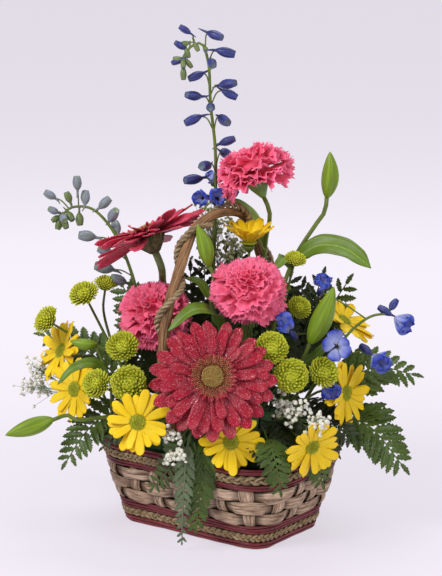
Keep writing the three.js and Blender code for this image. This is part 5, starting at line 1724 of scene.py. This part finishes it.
def build_breath():
    petals = colours().blossom
    white = soft_finish("white blossom", shaded(petals, 0.8), petals, 600, 0.8)
    green = soft_finish("fine twig", rgb("5d7440"), rgb("8da06a"), 120, 0.6)
    sprigs = {  # fork, middle of the cloud, twigs, its size, its seed and how far specks spread
        "left": ((-128, 14, 112), (-162, 22, 124), 10, (12, 12, 15), 1, 9),
        "front": ((-33, -82, 100), (-37, -96, 98), 9, (7, 3, 12), 4, 5),
        "right": ((66, -64, 112), (68, -85, 121), 14, (25, 7, 11), 7, 8),
    }
    for name, (fork, middle, count, size, kind, spread) in sprigs.items():
        node = f"breath_{name}"
        shapes = small_blossom(sizes().blossom_radius / MM), twig_straw()
        tips = cluster(seen(*middle), count, size, kind)
        finishes = green, white
        sprig(node, seen(*fork), 0.9, tips, spread, 9, shapes, finishes, "breath", node, len(name))


def build_filler():
    olive = soft_finish("filler buds", rgb("868b52"), rgb("d2d3a8"), 260, 0.8)
    green = soft_finish("filler twig", rgb("4f5c30"), rgb("7d8550"), 120, 0.6)
    tips = [
        seen(3 + 17 * uneven(i, 3), 46 + 12 * uneven(i, 6), 240 + 26 * uneven(i, 9))
        for i in range(15)
    ]
    shapes, finishes = (small_blossom(1.75), twig_straw()), (green, olive)
    fork = seen(2, 40, 205)
    sprig("filler", fork, 1.3, tips, 13, 18, shapes, finishes, "filler", "filler_spray", 5)


# The stage


# Each lamp's place as the arrangement is seen, its width in millimetres and its power in watts
LAMPS = {
    "left softbox": ((-900, -900, 1200), 700, 20),
    "right softbox": ((1000, -900, 900), 500, 7.5),
    "top softbox": ((100, 500, 1500), 800, 10),
}
LAMP_AIM = Vector((0, 0, 0.16))
CAMERA_PLACE, CAMERA_AIM = (1, -1800, 602), (1, 0, 210)
SENSOR_WIDTH = 36
FOCAL_SHARE = 2142 / 576  # focal length as a share of the picture's longer side
FLOOR_SIZE = 60  # metres
FLOOR_GLOW, ROOM_GLOW = 0.745, 0.34


def aimed(thing, name, target):
    """Names a lamp or camera and turns it to a target in metres."""
    thing.name = name
    thing.rotation_euler = (target - thing.location).to_track_quat("-Z", "Y").to_euler()
    return thing


def build_stage():
    scene = bpy.context.scene
    scene.view_settings.view_transform = "Standard"
    floor = started(bpy.ops.mesh.primitive_plane_add, size=FLOOR_SIZE, location=(0, 0, -0.4 * MM))
    floor.name = "floor"
    bpy.ops.object.transform_apply(location=True, rotation=False, scale=False)
    glow = {"Emission_Color": (*rgb("ebe5ee"), 1), "Emission_Strength": FLOOR_GLOW}
    cloth = Finish("pale floor", Roughness=0.8, Specular_IOR_Level=0.15, **glow)
    place = cloth.coordinates("Object")
    away = cloth.node("ShaderNodeVectorMath", {0: place}, output="Value", operation="LENGTH")
    fade = away * 0.9 - 0.2 + 0.1 * cloth.noise(place, 1.2, 2)
    cloth.feed("Base Color", cloth.mix(fade, rgb("807d85"), rgb("b5b2b9")))
    floor.data.materials.append(cloth.material)
    world = bpy.data.worlds.new("studio")
    world.use_nodes = True
    backing = world.node_tree.nodes["Background"]
    backing.inputs["Color"].default_value = (*rgb("eceaf2"), 1)
    backing.inputs["Strength"].default_value = ROOM_GLOW
    scene.world = world
    for name, (place, size, power) in LAMPS.items():
        lamp = started(bpy.ops.object.light_add, type="AREA", location=seen(*place) * MM)
        aimed(lamp, name, LAMP_AIM).data.size = size * MM
        lamp.data.energy = power
    camera = started(bpy.ops.object.camera_add, location=seen(*CAMERA_PLACE) * MM)
    aimed(camera, "photo camera", seen(*CAMERA_AIM) * MM).data.sensor_width = SENSOR_WIDTH
    camera.data.lens = SENSOR_WIDTH * FOCAL_SHARE
    scene.camera = camera


# Operators, panel and registration


class FLOWER_BASKET_OT_weave(bpy.types.Operator):
    """Weave the basket's wall and bottom from splints"""

    bl_idname = "flower_basket.weave"
    bl_label = "Weave"

    def execute(self, context):
        build_weave()
        return {"FINISHED"}


class FLOWER_BASKET_OT_reeds(bpy.types.Operator):
    """Lay the dyed reeds round the basket"""

    bl_idname = "flower_basket.reeds"
    bl_label = "Reeds"

    def execute(self, context):
        build_reeds()
        return {"FINISHED"}


class FLOWER_BASKET_OT_braids(bpy.types.Operator):
    """Plait the grass bands"""

    bl_idname = "flower_basket.braids"
    bl_label = "Braids"

    def execute(self, context):
        build_braids()
        return {"FINISHED"}


class FLOWER_BASKET_OT_handle(bpy.types.Operator):
    """Bend the vine handle and wind its cord"""

    bl_idname = "flower_basket.handle"
    bl_label = "Handle"

    def execute(self, context):
        build_handle()
        return {"FINISHED"}


class FLOWER_BASKET_OT_inside(bpy.types.Operator):
    """Finish the foam and its tray"""

    bl_idname = "flower_basket.inside"
    bl_label = "Inside"

    def execute(self, context):
        build_inside()
        return {"FINISHED"}


class FLOWER_BASKET_OT_gerberas(bpy.types.Operator):
    """Make the gerberas"""

    bl_idname = "flower_basket.gerberas"
    bl_label = "Gerberas"

    def execute(self, context):
        build_gerberas()
        return {"FINISHED"}


class FLOWER_BASKET_OT_carnations(bpy.types.Operator):
    """Make the carnations"""

    bl_idname = "flower_basket.carnations"
    bl_label = "Carnations"

    def execute(self, context):
        build_carnations()
        return {"FINISHED"}


class FLOWER_BASKET_OT_daisies(bpy.types.Operator):
    """Make the daisy sprays"""

    bl_idname = "flower_basket.daisies"
    bl_label = "Daisies"

    def execute(self, context):
        build_daisies()
        return {"FINISHED"}


class FLOWER_BASKET_OT_buttons(bpy.types.Operator):
    """Make the button bloom sprays"""

    bl_idname = "flower_basket.buttons"
    bl_label = "Button blooms"

    def execute(self, context):
        build_buttons()
        return {"FINISHED"}


class FLOWER_BASKET_OT_lilies(bpy.types.Operator):
    """Make the lily buds and leaves"""

    bl_idname = "flower_basket.lilies"
    bl_label = "Lilies"

    def execute(self, context):
        build_lilies()
        return {"FINISHED"}


class FLOWER_BASKET_OT_delphiniums(bpy.types.Operator):
    """Make the delphinium spikes"""

    bl_idname = "flower_basket.delphiniums"
    bl_label = "Delphiniums"

    def execute(self, context):
        build_delphiniums()
        return {"FINISHED"}


class FLOWER_BASKET_OT_ferns(bpy.types.Operator):
    """Make the fern fronds"""

    bl_idname = "flower_basket.ferns"
    bl_label = "Ferns"

    def execute(self, context):
        build_ferns()
        return {"FINISHED"}


class FLOWER_BASKET_OT_breath(bpy.types.Operator):
    """Make the sprigs of white blossom"""

    bl_idname = "flower_basket.breath"
    bl_label = "White blossoms"

    def execute(self, context):
        build_breath()
        return {"FINISHED"}


class FLOWER_BASKET_OT_filler(bpy.types.Operator):
    """Make the sprig of filler"""

    bl_idname = "flower_basket.filler"
    bl_label = "Filler"

    def execute(self, context):
        build_filler()
        return {"FINISHED"}


class FLOWER_BASKET_OT_stage(bpy.types.Operator):
    """Set the floor, the lights and the camera"""

    bl_idname = "flower_basket.stage"
    bl_label = "Stage"

    def execute(self, context):
        build_stage()
        return {"FINISHED"}


OPERATORS = [
    FLOWER_BASKET_OT_weave,
    FLOWER_BASKET_OT_reeds,
    FLOWER_BASKET_OT_braids,
    FLOWER_BASKET_OT_handle,
    FLOWER_BASKET_OT_inside,
    FLOWER_BASKET_OT_gerberas,
    FLOWER_BASKET_OT_carnations,
    FLOWER_BASKET_OT_daisies,
    FLOWER_BASKET_OT_buttons,
    FLOWER_BASKET_OT_lilies,
    FLOWER_BASKET_OT_delphiniums,
    FLOWER_BASKET_OT_ferns,
    FLOWER_BASKET_OT_breath,
    FLOWER_BASKET_OT_filler,
    FLOWER_BASKET_OT_stage,
]


class FLOWER_BASKET_PT_panel(bpy.types.Panel):
    """Lists the pieces and their sizes and colours"""

    bl_idname = "FLOWER_BASKET_PT_panel"
    bl_label = "Flower basket"
    bl_space_type = "VIEW_3D"
    bl_region_type = "UI"
    bl_category = "Flower basket"

    def draw(self, context):
        for kind in OPERATORS:
            self.layout.operator(kind.bl_idname)
        for group in (sizes(), colours()):
            for name in group.bl_rna.properties.keys():
                if name not in ("name", "rna_type"):
                    self.layout.prop(group, name)


CLASSES = [FlowerBasketSizes, FlowerBasketColours, *OPERATORS, FLOWER_BASKET_PT_panel]


def register():
    for kind in CLASSES:
        bpy.utils.register_class(kind)
    bpy.types.Scene.flower_basket_sizes = PointerProperty(type=FlowerBasketSizes)
    bpy.types.Scene.flower_basket_colours = PointerProperty(type=FlowerBasketColours)


def unregister():
    del bpy.types.Scene.flower_basket_colours
    del bpy.types.Scene.flower_basket_sizes
    for kind in reversed(CLASSES):
        bpy.utils.unregister_class(kind)


def main():
    register()
    steps = bpy.ops.flower_basket
    steps.weave()
    steps.reeds()
    steps.braids()
    steps.handle()
    steps.inside()
    steps.gerberas()
    steps.carnations()
    steps.daisies()
    steps.buttons()
    steps.lilies()
    steps.delphiniums()
    steps.ferns()
    steps.breath()
    steps.filler()
    steps.stage()
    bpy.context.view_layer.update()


if __name__ == "__main__":
    main()
